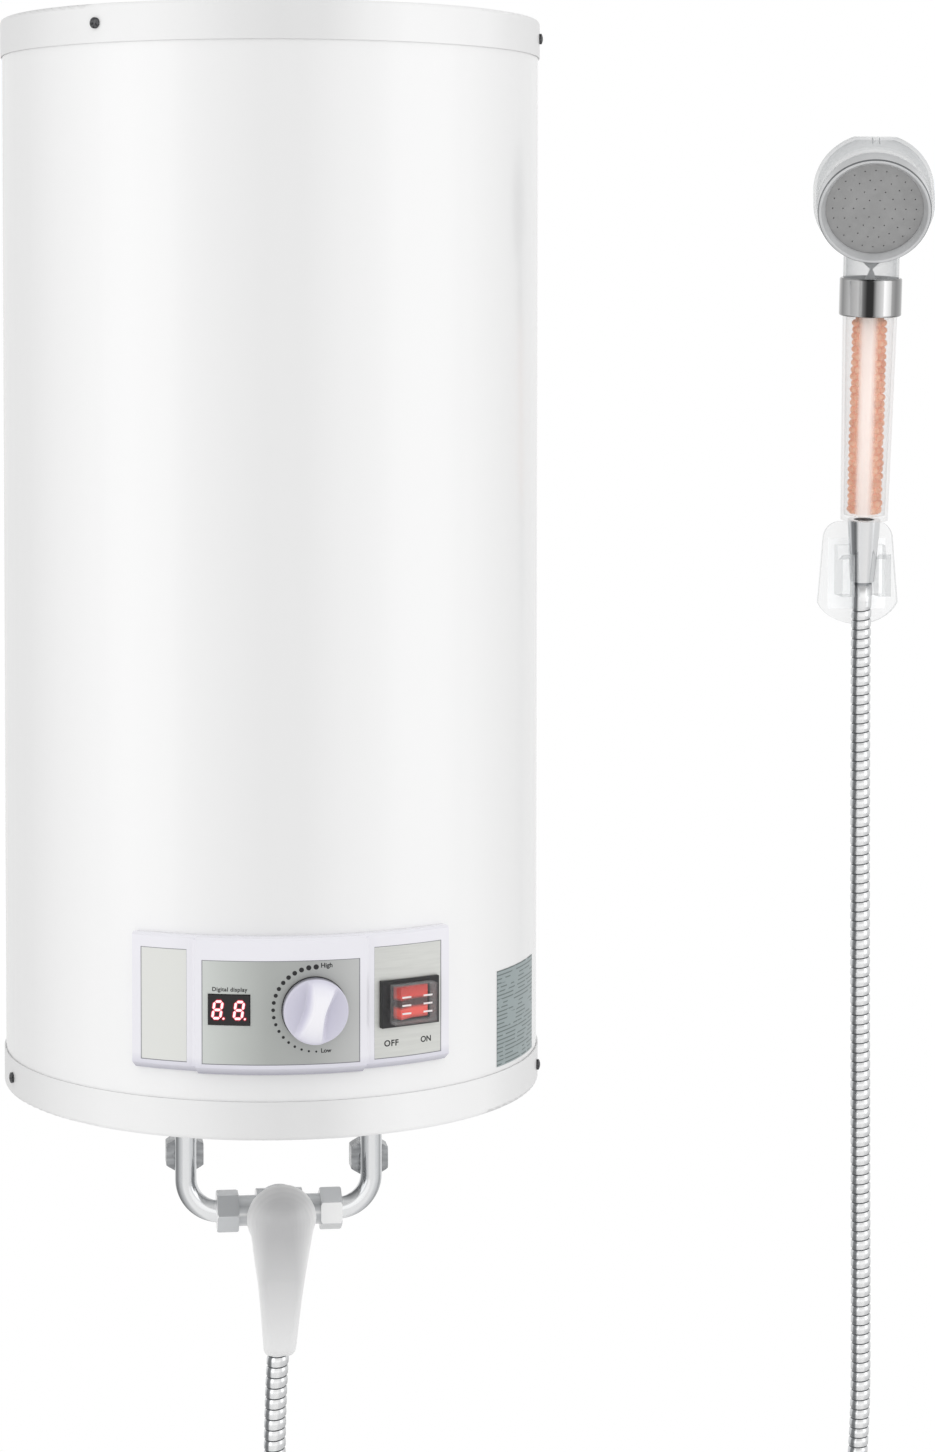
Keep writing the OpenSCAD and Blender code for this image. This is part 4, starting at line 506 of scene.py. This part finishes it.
def lit_digits(name, grow, lift, material):
    """Both figures and their points, with bars wider by grow and standing off the window by lift."""
    verts, faces = [], []
    half = (digit_h - bar_w) / 2
    wide = digit_w - bar_w

    def flat_shape(outline, x0):
        base, top = [[on_flat(display_s, window_face + off, x0 + x + z * digit_lean, z) for x, z in outline]
                     for off in (lift - bar_thick, lift)]
        prism(verts, faces, base, top)

    def bar(x, z, upright, length, x0):
        h = bar_w / 2 + grow
        end = bar_gap - grow
        points = [(end, 0), (end + h, -h), (length - end - h, -h), (length - end, 0),
                  (length - end - h, h), (end + h, h)]
        if upright:
            points = [(-v, u) for u, v in points]
        flat_shape([(x + u, z + v) for u, v in points], x0)

    for side in (-1, 1):
        x0 = side * digit_pitch / 2 - digit_aside
        for z in (-half, 0, half):
            bar(-wide / 2, z, False, wide, x0)
        for x in (-wide / 2, wide / 2):
            for z in (-half, 0):
                bar(x, z, True, half, x0)
        flat_shape([(digit_w / 2 + point_aside + x, point_r - digit_h / 2 + z)
                    for x, z in round_points(point_r + grow, 12)], x0)
    return piece(name, verts, faces, material, "heater", smooth=False)


glow_bars = lit_digits("lit_bars_glow", grow=0.0009, lift=0.00009, material=lit_glow)
rim_bars = lit_digits("lit_bars_rim", grow=0.00025, lift=0.00018, material=lit_rim)
core_bars = lit_digits("lit_bars_core", grow=-0.00015, lift=0.00027, material=lit_core)
for bars in (glow_bars, rim_bars, core_bars):
    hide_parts("display_digits")

# Control board: an etched glass-epoxy board on four posts behind the centre plate.
# Green solder mask over copper, satin.
solder_mask = mottle(surface("solder_mask_green", "#2C6A45", Roughness=0.4), "#256040", "#347450", 2)
dress(solder_mask, "control_board")

# Temperature knob: a round cap with a waisted grip across its face, pushed on the dial's shaft.
# It is gloss ABS like the frame; its soft shadow is toned in, darker towards the foot.
knob_abs = surface("gloss_abs_knob", "#EFEDF6", Roughness=0.22, Coat_Weight=0.2)
knob_r = 0.0215
knob_base = centre_plate_r + 0.0005
knob_tall = 0.0185
tree = knob_abs.node_tree
place = add(tree, "ShaderNodeTexCoord")
knob_way = on_flat(knob_s, 1, 0, 0) - on_flat(knob_s, 0, 0, 0)
rise = add(tree, "ShaderNodeVectorMath", {1: knob_way}, {0: place.outputs["Object"]}, operation="DOT_PRODUCT")
foot_at = knob_way.dot(on_flat(knob_s, knob_base, 0, 0))
up_knob = add(tree, "ShaderNodeMapRange", {"From Min": foot_at, "From Max": foot_at + knob_tall},
              {"Value": rise.outputs["Value"]})
knob_tones = [(0, "#8E8D98"), (0.2, "#C9C8D4"), (0.38, "#D3D1E0"), (0.6, "#DEDCEA"), (0.8, "#F0EFF8"),
              (1, "#F8F7FC")]
toned(knob_abs, up_knob.outputs["Result"], knob_tones)
grain(knob_abs, 5, 0.006, detail=1.0)
knob_lean = math.radians(15)
ridge_half, ridge_flare, ridge_foot = 0.0036, 0.0042, 0.0046
bowl_h, bowl_dip, crown_drop = 0.0085, 0.0022, 0.0082


def knob_point(x, z, h):
    """The point beside the knob's axis at a height over its foot."""
    return on_flat(knob_s, knob_base + h, x, z)


def knob_height(x, z):
    """Height of the knob's face: a shallow bowl on each side of a waisted ridge."""
    along = x * math.sin(knob_lean) + z * math.cos(knob_lean)
    across = x * math.cos(knob_lean) - z * math.sin(knob_lean)
    share = min(1.0, abs(along) / knob_r)
    half = ridge_half + ridge_flare * share ** 1.6
    rise = max(0.0, min(1.0, (abs(across) - half) / ridge_foot))
    ridge = 1 - rise * rise * (3 - 2 * rise)
    rho = math.hypot(x, z) / knob_r
    bowl = bowl_h - bowl_dip * (1 - rho * rho)
    crown = knob_tall - crown_drop * rho ** 3
    return bowl + (crown - bowl) * ridge


def ring_faces(count, sides, closed=False):
    """Four-sided faces between rings of points that follow one another."""
    return [[j * sides + k, j * sides + (k + 1) % sides,
             (j + 1) % count * sides + (k + 1) % sides, (j + 1) % count * sides + k]
            for j in range(count if closed else count - 1) for k in range(sides)]


spokes, face_rings, edge_rings = 128, 40, 4
edge_r = 0.0012
verts = []
for j in range(face_rings):
    for x, z in round_points((knob_r - edge_r) * (j + 1) / face_rings, spokes):
        verts.append(knob_point(x, z, knob_height(x, z)))
rim = [knob_height(x, z) for x, z in round_points(knob_r, spokes)]
for step in range(1, edge_rings + 1):
    a = math.pi / 2 * step / edge_rings
    for (x, z), h in zip(round_points(knob_r - edge_r + edge_r * math.sin(a), spokes), rim):
        verts.append(knob_point(x, z, h - edge_r * (1 - math.cos(a))))
verts += [knob_point(x, z, 0) for x, z in round_points(knob_r, spokes)]
last = face_rings + edge_rings
faces = ring_faces(last + 1, spokes)
faces += [[len(verts), (k + 1) % spokes, k] for k in range(spokes)]
verts.append(knob_point(0, 0, knob_height(0, 0)))
faces += [[len(verts), last * spokes + k, last * spokes + (k + 1) % spokes] for k in range(spokes)]
verts.append(knob_point(0, 0, 0))
knob = piece("knob_cap", verts, faces, knob_abs, "knob")
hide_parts("temperature_knob")
# A thin black ring round the knob's foot is a painted shadow in the gap between knob and plate.
foot_shadow_inner, foot_shadow_outer, foot_shadow_h = knob_r - 0.001, knob_r + 0.0004, 0.0003
foot_shadow = ((foot_shadow_inner, 0), (foot_shadow_outer, 0), (foot_shadow_outer, foot_shadow_h), (foot_shadow_inner, foot_shadow_h))
verts = [knob_point(x, z, h) for r, h in foot_shadow for x, z in round_points(r, spokes)]
faces = ring_faces(len(foot_shadow), spokes, closed=True)
piece("knob_foot_painted_shadow", verts, faces, black_ink_and_shadow, "knob", smooth=False)

# Rocker switch: a black housing clipped in its plate, a lit red rocker on a steel pin,
# and a clear soft boot with grip ribs that keeps splashes out.
housing_nylon = grain(surface("black_nylon_housing", "#1A1A1C", Roughness=0.32), 0.8, 0.01)
rounded("switch_housing", 0.5, housing_nylon, "heater")
red_polycarbonate = surface("lit_red_polycarbonate", "#D2392E", Roughness=0.25, Emission_Strength=0.3)
lens_half = 0.0108
up_lens = height_share(red_polycarbonate.node_tree, control_z - lens_half, control_z + lens_half)
# The rocker's colour and glow run darker at its bottom and top ends and in a dark band across its middle.
lens_tones = [(0, "#8E1F1A"), (0.12, "#D8483C"), (0.30, "#D8483C"), (0.40, "#3A1A1A"), (0.58, "#3A1A1A"),
              (0.68, "#C9372D"), (1, "#A8241D")]
toned(red_polycarbonate, up_lens, lens_tones, "Base Color", "Emission Color")
rounded("switch_rocker", 0.6, red_polycarbonate, "rocker")


def clear(name, colour, edge, thin, thick, blend=0.3, roughness=0.06):
    """Clear plastic: see-through face on, and greyer and denser where the wall turns edge on."""
    material = surface(name, colour, Roughness=roughness, IOR=1.49)
    tree = material.node_tree
    facing = add(tree, "ShaderNodeLayerWeight", {"Blend": blend})
    dense = add(tree, "ShaderNodeMapRange", {"To Min": thin, "To Max": thick},
                {"Value": facing.outputs["Facing"]})
    tree.links.new(dense.outputs["Result"], tree.nodes["Principled BSDF"].inputs["Alpha"])
    return toned(material, facing.outputs["Facing"], [(0, colour), (1, edge)])


boot_pvc = clear("soft_clear_pvc", "#E9EAEA", "#F4F4F4", 0.02, 0.4, blend=0.2)
rounded("switch_boot", 0.35, boot_pvc, "heater")
boot_face_r = side_plate_r + 0.0107
# The grip ribs stand half a millimetre proud of the boot; their pale colour is a painted highlight along each
# rib.
rib_highlight = grain(surface("rib_tips_painted_highlight", "#F3ECEC", Roughness=0.4), 0.5, 0.005)
grip_side, grip_pitch = 0.0081, 0.0054
grip_half_w, grip_half_h = 0.0033, 0.00055
verts, faces = [], []
for x in (-grip_side, grip_side):
    for z in (-grip_pitch, 0, grip_pitch):
        box_mesh(verts, faces, (x - grip_half_w, z - grip_half_h, boot_face_r + 0.0001),
                 (x + grip_half_w, z + grip_half_h, boot_face_r + 0.0006),
                 lambda x, z, r: on_flat(switch_s, r, x, z))
piece("boot_rib_tips", verts, faces, rib_highlight, "heater", smooth=False)

# Risers and union nuts: bent copper-alloy tubes with a rim at each end, held by hexagon nuts.
# All is nickel-chrome plated; the dark and bright bands on it are toned in, as photographed.
chrome = surface("nickel_chrome_plate", "#D3D5D7", Metallic=1.0, Roughness=0.1)
riser_tones = [
    (-180, "#DADBDD"), (-135, "#A8AAAC"), (-95, "#E2E3E4"), (-76, "#D8DADC"), (-68, "#7C7E80"),
    (-50, "#8A8C8E"), (-40, "#B2B4B6"), (-26, "#D0D2D4"), (-16, "#F8F9FA"), (12, "#F6F7F8"),
    (22, "#DCDEE0"), (36, "#C8CACC"), (44, "#A4A6A8"), (56, "#D2D4D6"), (90, "#E6E7E8"),
    (135, "#A8AAAC"), (180, "#DADBDD")]
by_angle(chrome, riser_tones)
grain(chrome, 10, 0.004, detail=1.0)
dress(chrome, "hot_riser", "cold_riser", "hose_nut")
nut_chrome = surface("chromed_brass_nuts", "#C8CACC", Metallic=0.15, Roughness=0.22)
# The nuts' tones are painted reflections, lighter or darker by how far each face tilts up or down.
tilt_reflection_tones = [(0, "#D0D2D4"), (0.07, "#E6E7E8"), (0.25, "#D2D4D6"), (0.42, "#D8DADC"), (0.5, "#FFFFFF"),
               (0.58, "#D4D6D8"), (0.75, "#B4B6B8"), (0.93, "#DADCDE"), (1, "#D0D2D4")]
toned(nut_chrome, height_share(nut_chrome.node_tree, -1.0, 1.0, "Normal"), tilt_reflection_tones)
grain(nut_chrome, 10, 0.004, detail=1.0)
for nut in ("riser_top_nuts", "mixer_union_nuts"):
    rounded(nut, 0.6, nut_chrome, "heater", segments=2)
dull_chrome = surface("dull_chromed_brass", "#A9ABAD", Metallic=0.6, Roughness=0.25)
mottle(dull_chrome, "#8E9092", "#BCBEC0", 14, (1, 1, 4))
rounded("supply_union_nuts", 0.35, dull_chrome, "heater", segments=2)
fibre = grain(mottle(surface("pressed_fibre", "#6B4A35", Roughness=0.8), "#5F402D", "#78553E", 1), 0.5, 0.03)
dress(fibre, "fibre_washers")

# Mixer: a cast body with a round cover in front, chrome-plated like the nuts beside it.
# The cartridge and its stem inside are moulded acetal, cream-white and satin.
# The mixer's bands of light and dark are painted reflections, set by face tilt as on the nuts.
dress(nut_chrome, "mixer_body", "mixer_dome")
acetal = grain(surface("acetal_natural", "#E4E0D4", Roughness=0.4), 1, 0.01)
dress(acetal, "mixer_cartridge", "cartridge_stem")

# Lever: a die-cast cup over the mixer's ball that runs down into a flat handle.
# It is satin-chromed zinc; its shade is toned in by height and by how far it faces the viewer.
# The cup hides the ball, and at rest the handle's tip hangs a touch to the left.
satin_chrome = surface("satin_chromed_zinc", "#D9DADB", Metallic=0.2, Roughness=0.42)
lever_low, lever_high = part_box("mixer_lever")
tree = satin_chrome.node_tree
upper = height_share(tree, lever_low[2] - 0.006, lever_high[2] - 0.03)
facing = add(tree, "ShaderNodeLayerWeight", {"Blend": 0.5})
inner = add(tree, "ShaderNodeMapRange", {"From Min": 0.75, "From Max": 0.1},
            {"Value": facing.outputs["Facing"]})
shade = add(tree, "ShaderNodeMath", links={0: upper, 1: inner.outputs["Result"]}, operation="MULTIPLY")
toned(satin_chrome, shade.outputs[0], [(0, "#F2F2F2"), (1, "#C0C0C1")])
soft = welded("mixer_lever")
ball = Vector([(a + b) / 2 for a, b in zip(*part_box("lever_pin"))])
cup_outer_r, cup_inner_r = 0.0244, 0.0224
cup_angles = [math.radians(a) for a in (50, 62, 74, 86)]
cup_lip = [(cup_outer_r, a) for a in cup_angles] + [(cup_inner_r, a) for a in reversed(cup_angles)]
cup_steps = 96
corners = [soft.verts.new(ball + r * Vector((math.sin(a) * x, -math.cos(a), math.sin(a) * z)))
           for x, z in round_points(1, cup_steps) for r, a in cup_lip]
for quad in ring_faces(cup_steps, len(cup_lip), closed=True):
    soft.faces.new([corners[k] for k in quad])
bmesh.ops.recalc_face_normals(soft, faces=soft.faces)
lever = link(bpy.data.objects.new("lever_casting", unsharpened(soft, "lever_casting")))
remesh = lever.modifiers.new("even_skin", "REMESH")
remesh.mode = "VOXEL"
remesh.voxel_size = 0.0007
relax = lever.modifiers.new("soft_skin", "SMOOTH")
relax.factor = 0.5
relax.iterations = 6
bpy.context.view_layer.update()
finished = bpy.data.meshes.new_from_object(lever.evaluated_get(bpy.context.evaluated_depsgraph_get()))
lever.modifiers.clear()
lever.data = finished
arm_len = 0.09
arm_waist = 0.09
tip_aside = 0.003
for v in finished.vertices:
    down = max(0.0, min(1.0, (ball.z - v.co.z) / arm_len))
    v.co.x = v.co.x * (1 - arm_waist * math.sin(math.pi * down)) - tip_aside * down
finished.shade_smooth()
finished.materials.clear()
finished.materials.append(satin_chrome)
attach(lever, "lever")
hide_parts("mixer_lever")

# Shower hose: an interlocked stainless strip wound over a rubber liner, about 1.73 m long.
# Each turn shows as a narrow rounded rib; the ends run straight into their nuts.
# The bands of light along it are toned in by angle, as on the risers.
hose_route_mm = [
    (0, -263, -683.5), (0, -263, -704), (0, -263, -730), (-2, -263, -770), (-3, -263, -812),
    (-2, -263, -856), (3, -261, -902), (14, -256, -950), (33, -247, -1000), (62, -234, -1052),
    (102, -216, -1102), (150, -194, -1146), (200, -171, -1174), (248, -149, -1185),
    (298, -126, -1177), (346, -104, -1152), (390, -84, -1111), (430, -62, -1059), (458, -46, -1000),
    (472, -36, -940), (478, -30, -880), (479, -27, -800), (479, -24, -700), (479, -21, -600),
    (479, -18, -500), (479, -16, -400), (479, -15, -320), (479, -15, -270), (479, -16.3, -246),
    (479, -18, -226)]
hose_d = 0.0155
rib_pitch = 0.0074
rib_slant = 0.14
rib_depth = 0.0009
rib_shape = ((0.0, 1.0), (0.12, 1.0), (0.24, 0.25), (0.5, 0.0), (0.86, 0.1))
route_steps = 40
route = [Vector(p) / 1000 for p in hose_route_mm]
fine = []
for i in range(len(route) - 1):
    a, b, c, d = (route[max(0, min(len(route) - 1, i + k))] for k in (-1, 0, 1, 2))
    for step in range(route_steps):
        t = step / route_steps
        fine.append(0.5 * (2 * b + (c - a) * t + (2 * a - 5 * b + 4 * c - d) * t ** 2
                           + (3 * b - a - 3 * c + d) * t ** 3))
fine.append(route[-1])
reach = [0.0]
for a, b in zip(fine, fine[1:]):
    reach.append(reach[-1] + (b - a).length)
hose_len = reach[-1]


def hose_at(s):
    """The point on the hose's middle line at a distance from the mixer."""
    low, high = 0, len(reach) - 1
    while high - low > 1:
        middle = (low + high) // 2
        low, high = (middle, high) if reach[middle] <= s else (low, middle)
    return fine[low].lerp(fine[high], (s - reach[low]) / (reach[high] - reach[low]))


ribbed_len = hose_len - 2 * hose_d
rib_count = round(ribbed_len / rib_pitch)
profile = [(0.0, hose_d / 2), (hose_d, hose_d / 2)]
for i in range(rib_count):
    profile += [(hose_d + ribbed_len * (i + share) / rib_count, hose_d / 2 - rib_depth * dip)
                for share, dip in rib_shape]
profile += [(hose_len - hose_d, hose_d / 2), (hose_len, hose_d / 2)]
loop_run_mm = (479, 245, 0)
across = Vector(loop_run_mm).normalized().cross(Vector((0, 0, 1)))
nudge = 0.0005
sides = 20
verts, centres = [], []
for i, (s, radius) in enumerate(profile):
    here = hose_at(min(s, hose_len))
    slant = rib_slant if 2 <= i < len(profile) - 2 else 0.0
    ahead = (hose_at(min(s + nudge, hose_len)) - hose_at(max(s - nudge, 0))).normalized()
    v = ahead.cross(across).normalized()
    u = ahead.cross(v)
    centres.append(here)
    verts += [here + (v + ahead * slant) * x + u * y for x, y in round_points(radius, sides)]
faces = ring_faces(len(profile), sides)
faces.append([k for k in reversed(range(sides))])
faces.append([(len(profile) - 1) * sides + k for k in range(sides)])
hose_steel = surface("interlocked_stainless", "#C6C8CA", Metallic=1.0, Roughness=0.22)
tube_tones = [(-180, "#B4B6B8"), (-90, "#D6D8DA"), (-72, "#CACCCE"), (-62, "#7C7E80"), (-44, "#787A7C"),
              (-34, "#F0F1F2"), (2, "#FAFAFA"), (14, "#E2E3E4"), (45, "#D8D9DA"), (72, "#CCCDCE"),
              (180, "#B4B6B8")]
by_angle(hose_steel, tube_tones)
# The groove faces between the ribs are painted dark grey: a painted shade in each crease.
groove_shade = grain(surface("shaded_groove_steel", "#55575A", Metallic=0.8, Roughness=0.4), 0.5, 0.02)
hose = piece("hose_ribs", verts, faces, hose_steel, None)
hose.data.materials.append(groove_shade)
for face in hose.data.polygons:
    row = face.index // sides
    if 2 <= row < len(profile) - 2 and (row - 2) % len(rib_shape) == 0:
        face.material_index = 1
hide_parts("shower_hose")

# Wall holder: a rounded plate with a slotted cradle, stuck to the wall by a foam pad.
# It is clear styrene, so it looks pale grey, and darker where its walls turn edge on.
# The pad is given a little glow, so that it looks as white as photographed.
clear_styrene = clear("clear_styrene", "#EFF1F2", "#8E9396", 0.12, 0.62)
rounded("shower_holder", 1.0, clear_styrene, "heater")
pad_foam = surface("acrylic_foam_pad", "#F6F6F6", Roughness=0.7, Emission_Color=tint("#F6F6F6"),
                   Emission_Strength=0.5)
grain(mottle(pad_foam, "#EEEEEE", "#F6F6F6", 2), 1, 0.05)
dress(pad_foam, "adhesive_pad")

# Hand shower: a chromed cone nut and collar, a clear handle, head and neck,
# a chrome ring that clamps a steel spray plate, and a grey guide in the neck. It leans in its holder.
# The bands of light on the nut and the collar are toned in by angle, as on the risers.
hand_foot = (0.479, -0.018, -0.226)
hand_lean = math.radians(5)
hand = Matrix.Translation(hand_foot) @ Matrix.Rotation(hand_lean, 4, "X")
cone_chrome = by_angle(surface("chromed_brass_cone", "#D3D5D7", Metallic=1.0, Roughness=0.12), tube_tones)
dress(cone_chrome, "hose_cone_nut")
ring_chrome = surface("satin_chromed_ring", "#D2D3D4", Metallic=0.35, Roughness=0.28)
grain(mottle(ring_chrome, "#CCCDCE", "#D8D9DA", 20), 8, 0.004, detail=1.0)
spray_ring = rounded("spray_ring", 0.5, ring_chrome, "handset")
collar_chrome = surface("chromed_brass_collar", "#C8C8C8", Metallic=1.0, Roughness=0.12)
collar_tones = [
    (-180, "#9A9A9A"), (-95, "#B8B8B8"), (-76, "#8A8A8A"), (-54, "#C2C2C2"), (-38, "#D4D4D4"),
    (-28, "#707070"), (-21, "#343434"), (-10, "#343434"), (-3, "#B0B0B0"), (8, "#DCDCDC"),
    (24, "#B2B2B2"), (39, "#8A8A8A"), (60, "#A2A2A2"), (180, "#9A9A9A")]
by_angle(collar_chrome, collar_tones)
dress(collar_chrome, "handset_collar")
clear_acrylic = clear("clear_acrylic", "#F0F2F3", "#8A8F92", 0.04, 0.5, blend=0.2)
dress(clear_acrylic, "handset_handle")
hazy_acrylic = clear("clear_acrylic_head", "#E0E2E3", "#9A9FA2", 0.14, 0.6)
dress(hazy_acrylic, "handset_head")
guide_grey = grain(surface("moulded_grey_guide", "#A6A8AA", Roughness=0.5), 1, 0.02)
dress(guide_grey, "neck_strainer")
spray_steel = surface("pierced_stainless", "#A0A2A4", Metallic=0.5, Roughness=0.5)
mottle(spray_steel, "#A0A0A0", "#A8A8A8", 9)
dress(spray_steel, "spray_plate")
head_turn, head_tilt = math.radians(-13), math.radians(20 - 90)
head_middle = (0, -0.033, 0.294)
head_face = (hand @ Matrix.Rotation(head_turn, 4, "Z") @ Matrix.Translation(head_middle)
             @ Matrix.Rotation(head_tilt, 4, "X"))


def on_head(x, y, z):
    """The point beside the middle of the spray face, z towards the head's back."""
    return head_face @ Vector((x, y, z))


# The ring's outer side is painted darker grey: a painted dark reflection along its edge.
rim_dark_reflection = grain(surface("chrome_rim_painted_reflection", "#7E8082", Metallic=0.6, Roughness=0.25), 2, 0.004)
rim_r, rim_z = 0.0421, -0.004
spray_ring.data.materials.append(rim_dark_reflection)
for face in spray_ring.data.polygons:
    x, y, z = head_face.inverted() @ face.center
    if math.hypot(x, y) > rim_r and z < rim_z:
        face.material_index = 1
mesh_grey = grain(surface("strainer_mesh_grey", "#979899", Roughness=0.6), 0.4, 0.03)
rose_r, rose_z, rose_thick = 0.0365, 0.0004, 0.0002
verts, faces = [], []
base, top = [[on_head(x, y, z) for x, y in round_points(rose_r, 48)] for z in (rose_z, rose_z + rose_thick)]
prism(verts, faces, base, top)
piece("spray_strainer_mesh", verts, faces, mesh_grey, "handset")
mould_line = grain(surface("acrylic_mould_line", "#A9ACAE", Roughness=0.4), 0.5, 0.005)
line_side, line_half_w = 0.0026, 0.0003
verts, faces = [], []
for x in (-line_side, line_side):
    box_mesh(verts, faces, (x - line_half_w, -0.0465, 0.016), (x + line_half_w, -0.0461, 0.0285), on_head)
piece("head_mould_lines", verts, faces, mould_line, "handset", smooth=False)

# Mineral beads: fired clay balls poured in a clear inner tube that stands on the handle's floor.
# They are matt terracotta pink, each a slightly different shade and place.
# Beads and tube are given a little glow, and the tube's density goes by angle, as photographed.
tube_r = 0.0155
tube_wall = 0.001
tube_low, tube_high = 0.0531, 0.2131
bead_r = 0.0030
shelf_r = tube_r - tube_wall - bead_r - 0.0002
per_row = int(2 * math.pi * shelf_r / (2.02 * bead_r))
row_rise = 1.74 * bead_r
rows = int((tube_high - tube_low - 2 * bead_r - 0.002) / row_rise)
sway, slack, lift = 0.05, 0.0006, 0.0003
least_size = 0.86
random.seed(5)
bead = bmesh.new()
bmesh.ops.create_icosphere(bead, subdivisions=2, radius=bead_r)
bead_verts = [v.co.copy() for v in bead.verts]
bead_faces = [[v.index for v in f.verts] for f in bead.faces]
bead.free()
verts, faces = [], []
for row in range(rows):
    for k in range(per_row):
        turn = 2 * math.pi * (k + 0.5 * (row % 2)) / per_row + random.uniform(-sway, sway)
        out = shelf_r - random.uniform(0, slack)
        centre = Vector((out * math.cos(turn), out * math.sin(turn),
                         tube_low + 0.001 + bead_r + row * row_rise + random.uniform(-lift, lift)))
        size = random.uniform(least_size, 1.0)
        first = len(verts)
        verts += [hand @ (centre + size * v) for v in bead_verts]
        faces += [[first + i for i in f] for f in bead_faces]
bead_clay = surface("fired_clay", "#DB9466", Roughness=0.75, Emission_Color=tint("#D9834F"),
                    Emission_Strength=0.22)
mottle(bead_clay, "#CE8052", "#F0BC98", 9)
grain(bead_clay, 0.6, 0.05)
beads = piece("clay_beads", verts, faces, bead_clay, "handset")


def turned(name, profile, material, body, sides=64):
    """A turned piece on the hand shower's axis, from its closed half section."""
    verts = [hand @ Vector((x, y, z)) for r, z in profile for x, y in round_points(r, sides)]
    return piece(name, verts, ring_faces(len(profile), sides, closed=True), material, body)


def sleeve(inner_r, outer_r, low, high):
    """Closed half section of a tube."""
    return [(inner_r, low), (outer_r, low), (outer_r, high), (inner_r, high)]


core_hole_r, core_r = 0.0005, shelf_r - 0.0004
core_section = sleeve(core_hole_r, core_r, tube_low + 0.001, tube_high - 0.002)
bead_core = turned("bead_filling", core_section, bead_clay, "handset")
tube_acrylic = surface("clear_inner_tube", "#FBF3EE", Roughness=0.08, Emission_Color=tint("#FBF3EE"),
                       Emission_Strength=0.3)
# The tube is nearly clear, but denser and paler in a band down its front left: a painted highlight.
tube_highlight_density = [(-180, "#303030"), (-60, "#303030"), (-46, "#484848"), (-34, "#B8B8B8"), (-26, "#C8C8C8"),
                (-8, "#C8C8C8"), (0, "#A4A4A4"), (12, "#484848"), (30, "#303030"), (180, "#303030")]
by_angle(tube_acrylic, tube_highlight_density, socket="Alpha")
tube_section = sleeve(tube_r - tube_wall, tube_r, tube_low, tube_high)
bead_tube = turned("bead_tube", tube_section, tube_acrylic, "handset")
for part in (beads, bead_core, bead_tube):
    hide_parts("mineral_beads")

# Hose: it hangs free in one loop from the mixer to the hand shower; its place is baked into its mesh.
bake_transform(hose)

# Studio: a pale floor well below the hose, two tall soft lamps at the sides and a white surround.
# Metal mirrors a room that is white at eye level, and greyer overhead and underfoot.
floor_z = cad_box[0][2] - 0.06
floor_mesh = bpy.data.meshes.new("floor")
floor_low, floor_high = (-1.9, -3.2), (2.2, 0.35)
floor_mesh.from_pydata([(*floor_low, floor_z), (floor_high[0], floor_low[1], floor_z), (*floor_high, floor_z),
                        (floor_low[0], floor_high[1], floor_z)], [], [(0, 1, 2, 3)])
floor_paint = surface("floor_matt_white", "#ECECEC", Roughness=0.9)
grain(floor_paint, 4, 0.02)
floor_mesh.materials.append(floor_paint)
floor = link(bpy.data.objects.new("floor", floor_mesh))

world = bpy.data.worlds.new("studio")
bpy.context.scene.world = world
world.use_nodes = True
tree = world.node_tree
tree.nodes.clear()
path = add(tree, "ShaderNodeLightPath")
room = add(tree, "ShaderNodeValToRGB", links={"Fac": height_share(tree, -1.0, 1.0, "Generated")})
room.color_ramp.elements[0].color = tint("#9A9A9A")
room.color_ramp.elements[1].color = tint("#C4C4C4")
for where, colour in ((0.2, "#A8A8A8"), (0.36, "#F4F4F4"), (0.64, "#FFFFFF"), (0.82, "#B4B4B4")):
    room.color_ramp.elements.new(where).color = tint(colour)
ambient = add(tree, "ShaderNodeBackground", {"Color": tint("#FFFFFF"), "Strength": 0.90})
mirrored = add(tree, "ShaderNodeBackground", {"Strength": 1.0}, {"Color": room.outputs["Color"]})
shown = add(tree, "ShaderNodeBackground", {"Color": tint("#FFFFFF"), "Strength": 1.0})
direct, through = path.outputs["Is Camera Ray"], path.outputs["Is Transmission Ray"]
seen = add(tree, "ShaderNodeMath", links={0: direct, 1: through}, operation="MAXIMUM")
gloss = add(tree, "ShaderNodeMixShader", links={0: path.outputs["Is Glossy Ray"], 1: ambient.outputs[0],
                                                2: mirrored.outputs[0]})
total = add(tree, "ShaderNodeMixShader", links={0: seen.outputs[0], 1: gloss.outputs[0], 2: shown.outputs[0]})
add(tree, "ShaderNodeOutputWorld", links={"Surface": total.outputs[0]})


def soft_lamp(name, azimuth, power, distance=2.4, height=0.5, width=1.4, tall=2.4):
    """A tall area lamp that faces the heater; azimuth runs from the front towards +X."""
    light = bpy.data.lights.new(name, "AREA")
    light.shape = "RECTANGLE"
    light.size = width
    light.size_y = tall
    light.energy = power
    lamp = link(bpy.data.objects.new(name, light))
    a = math.radians(azimuth)
    target = Vector((0.1, axis_y, -0.25))
    lamp.location = target + Vector((distance * math.sin(a), -distance * math.cos(a), height))
    lamp.rotation_euler = (target - lamp.location).to_track_quat("-Z", "Y").to_euler()


soft_lamp("lamp_left", azimuth=-60, power=6)
soft_lamp("lamp_right", azimuth=60, power=7)

# Camera: at the photograph's viewing angle, a little left of the heater and near its middle height.
# The lens is shifted down and right, so that the mixer and the hand shower come into the picture.
camera_data = bpy.data.cameras.new("camera")
camera_data.lens = 81.80
camera_data.sensor_width = 36.0
camera_data.shift_x = 0.068
camera_data.shift_y = -0.1997
camera = link(bpy.data.objects.new("camera", camera_data))
camera.location = (-0.1843, -2.5401, -0.0063)
camera.rotation_euler = (math.radians(90 - 2.351), 0, math.radians(-6.206))
bpy.context.scene.camera = camera
bpy.context.scene.view_settings.view_transform = "Standard"
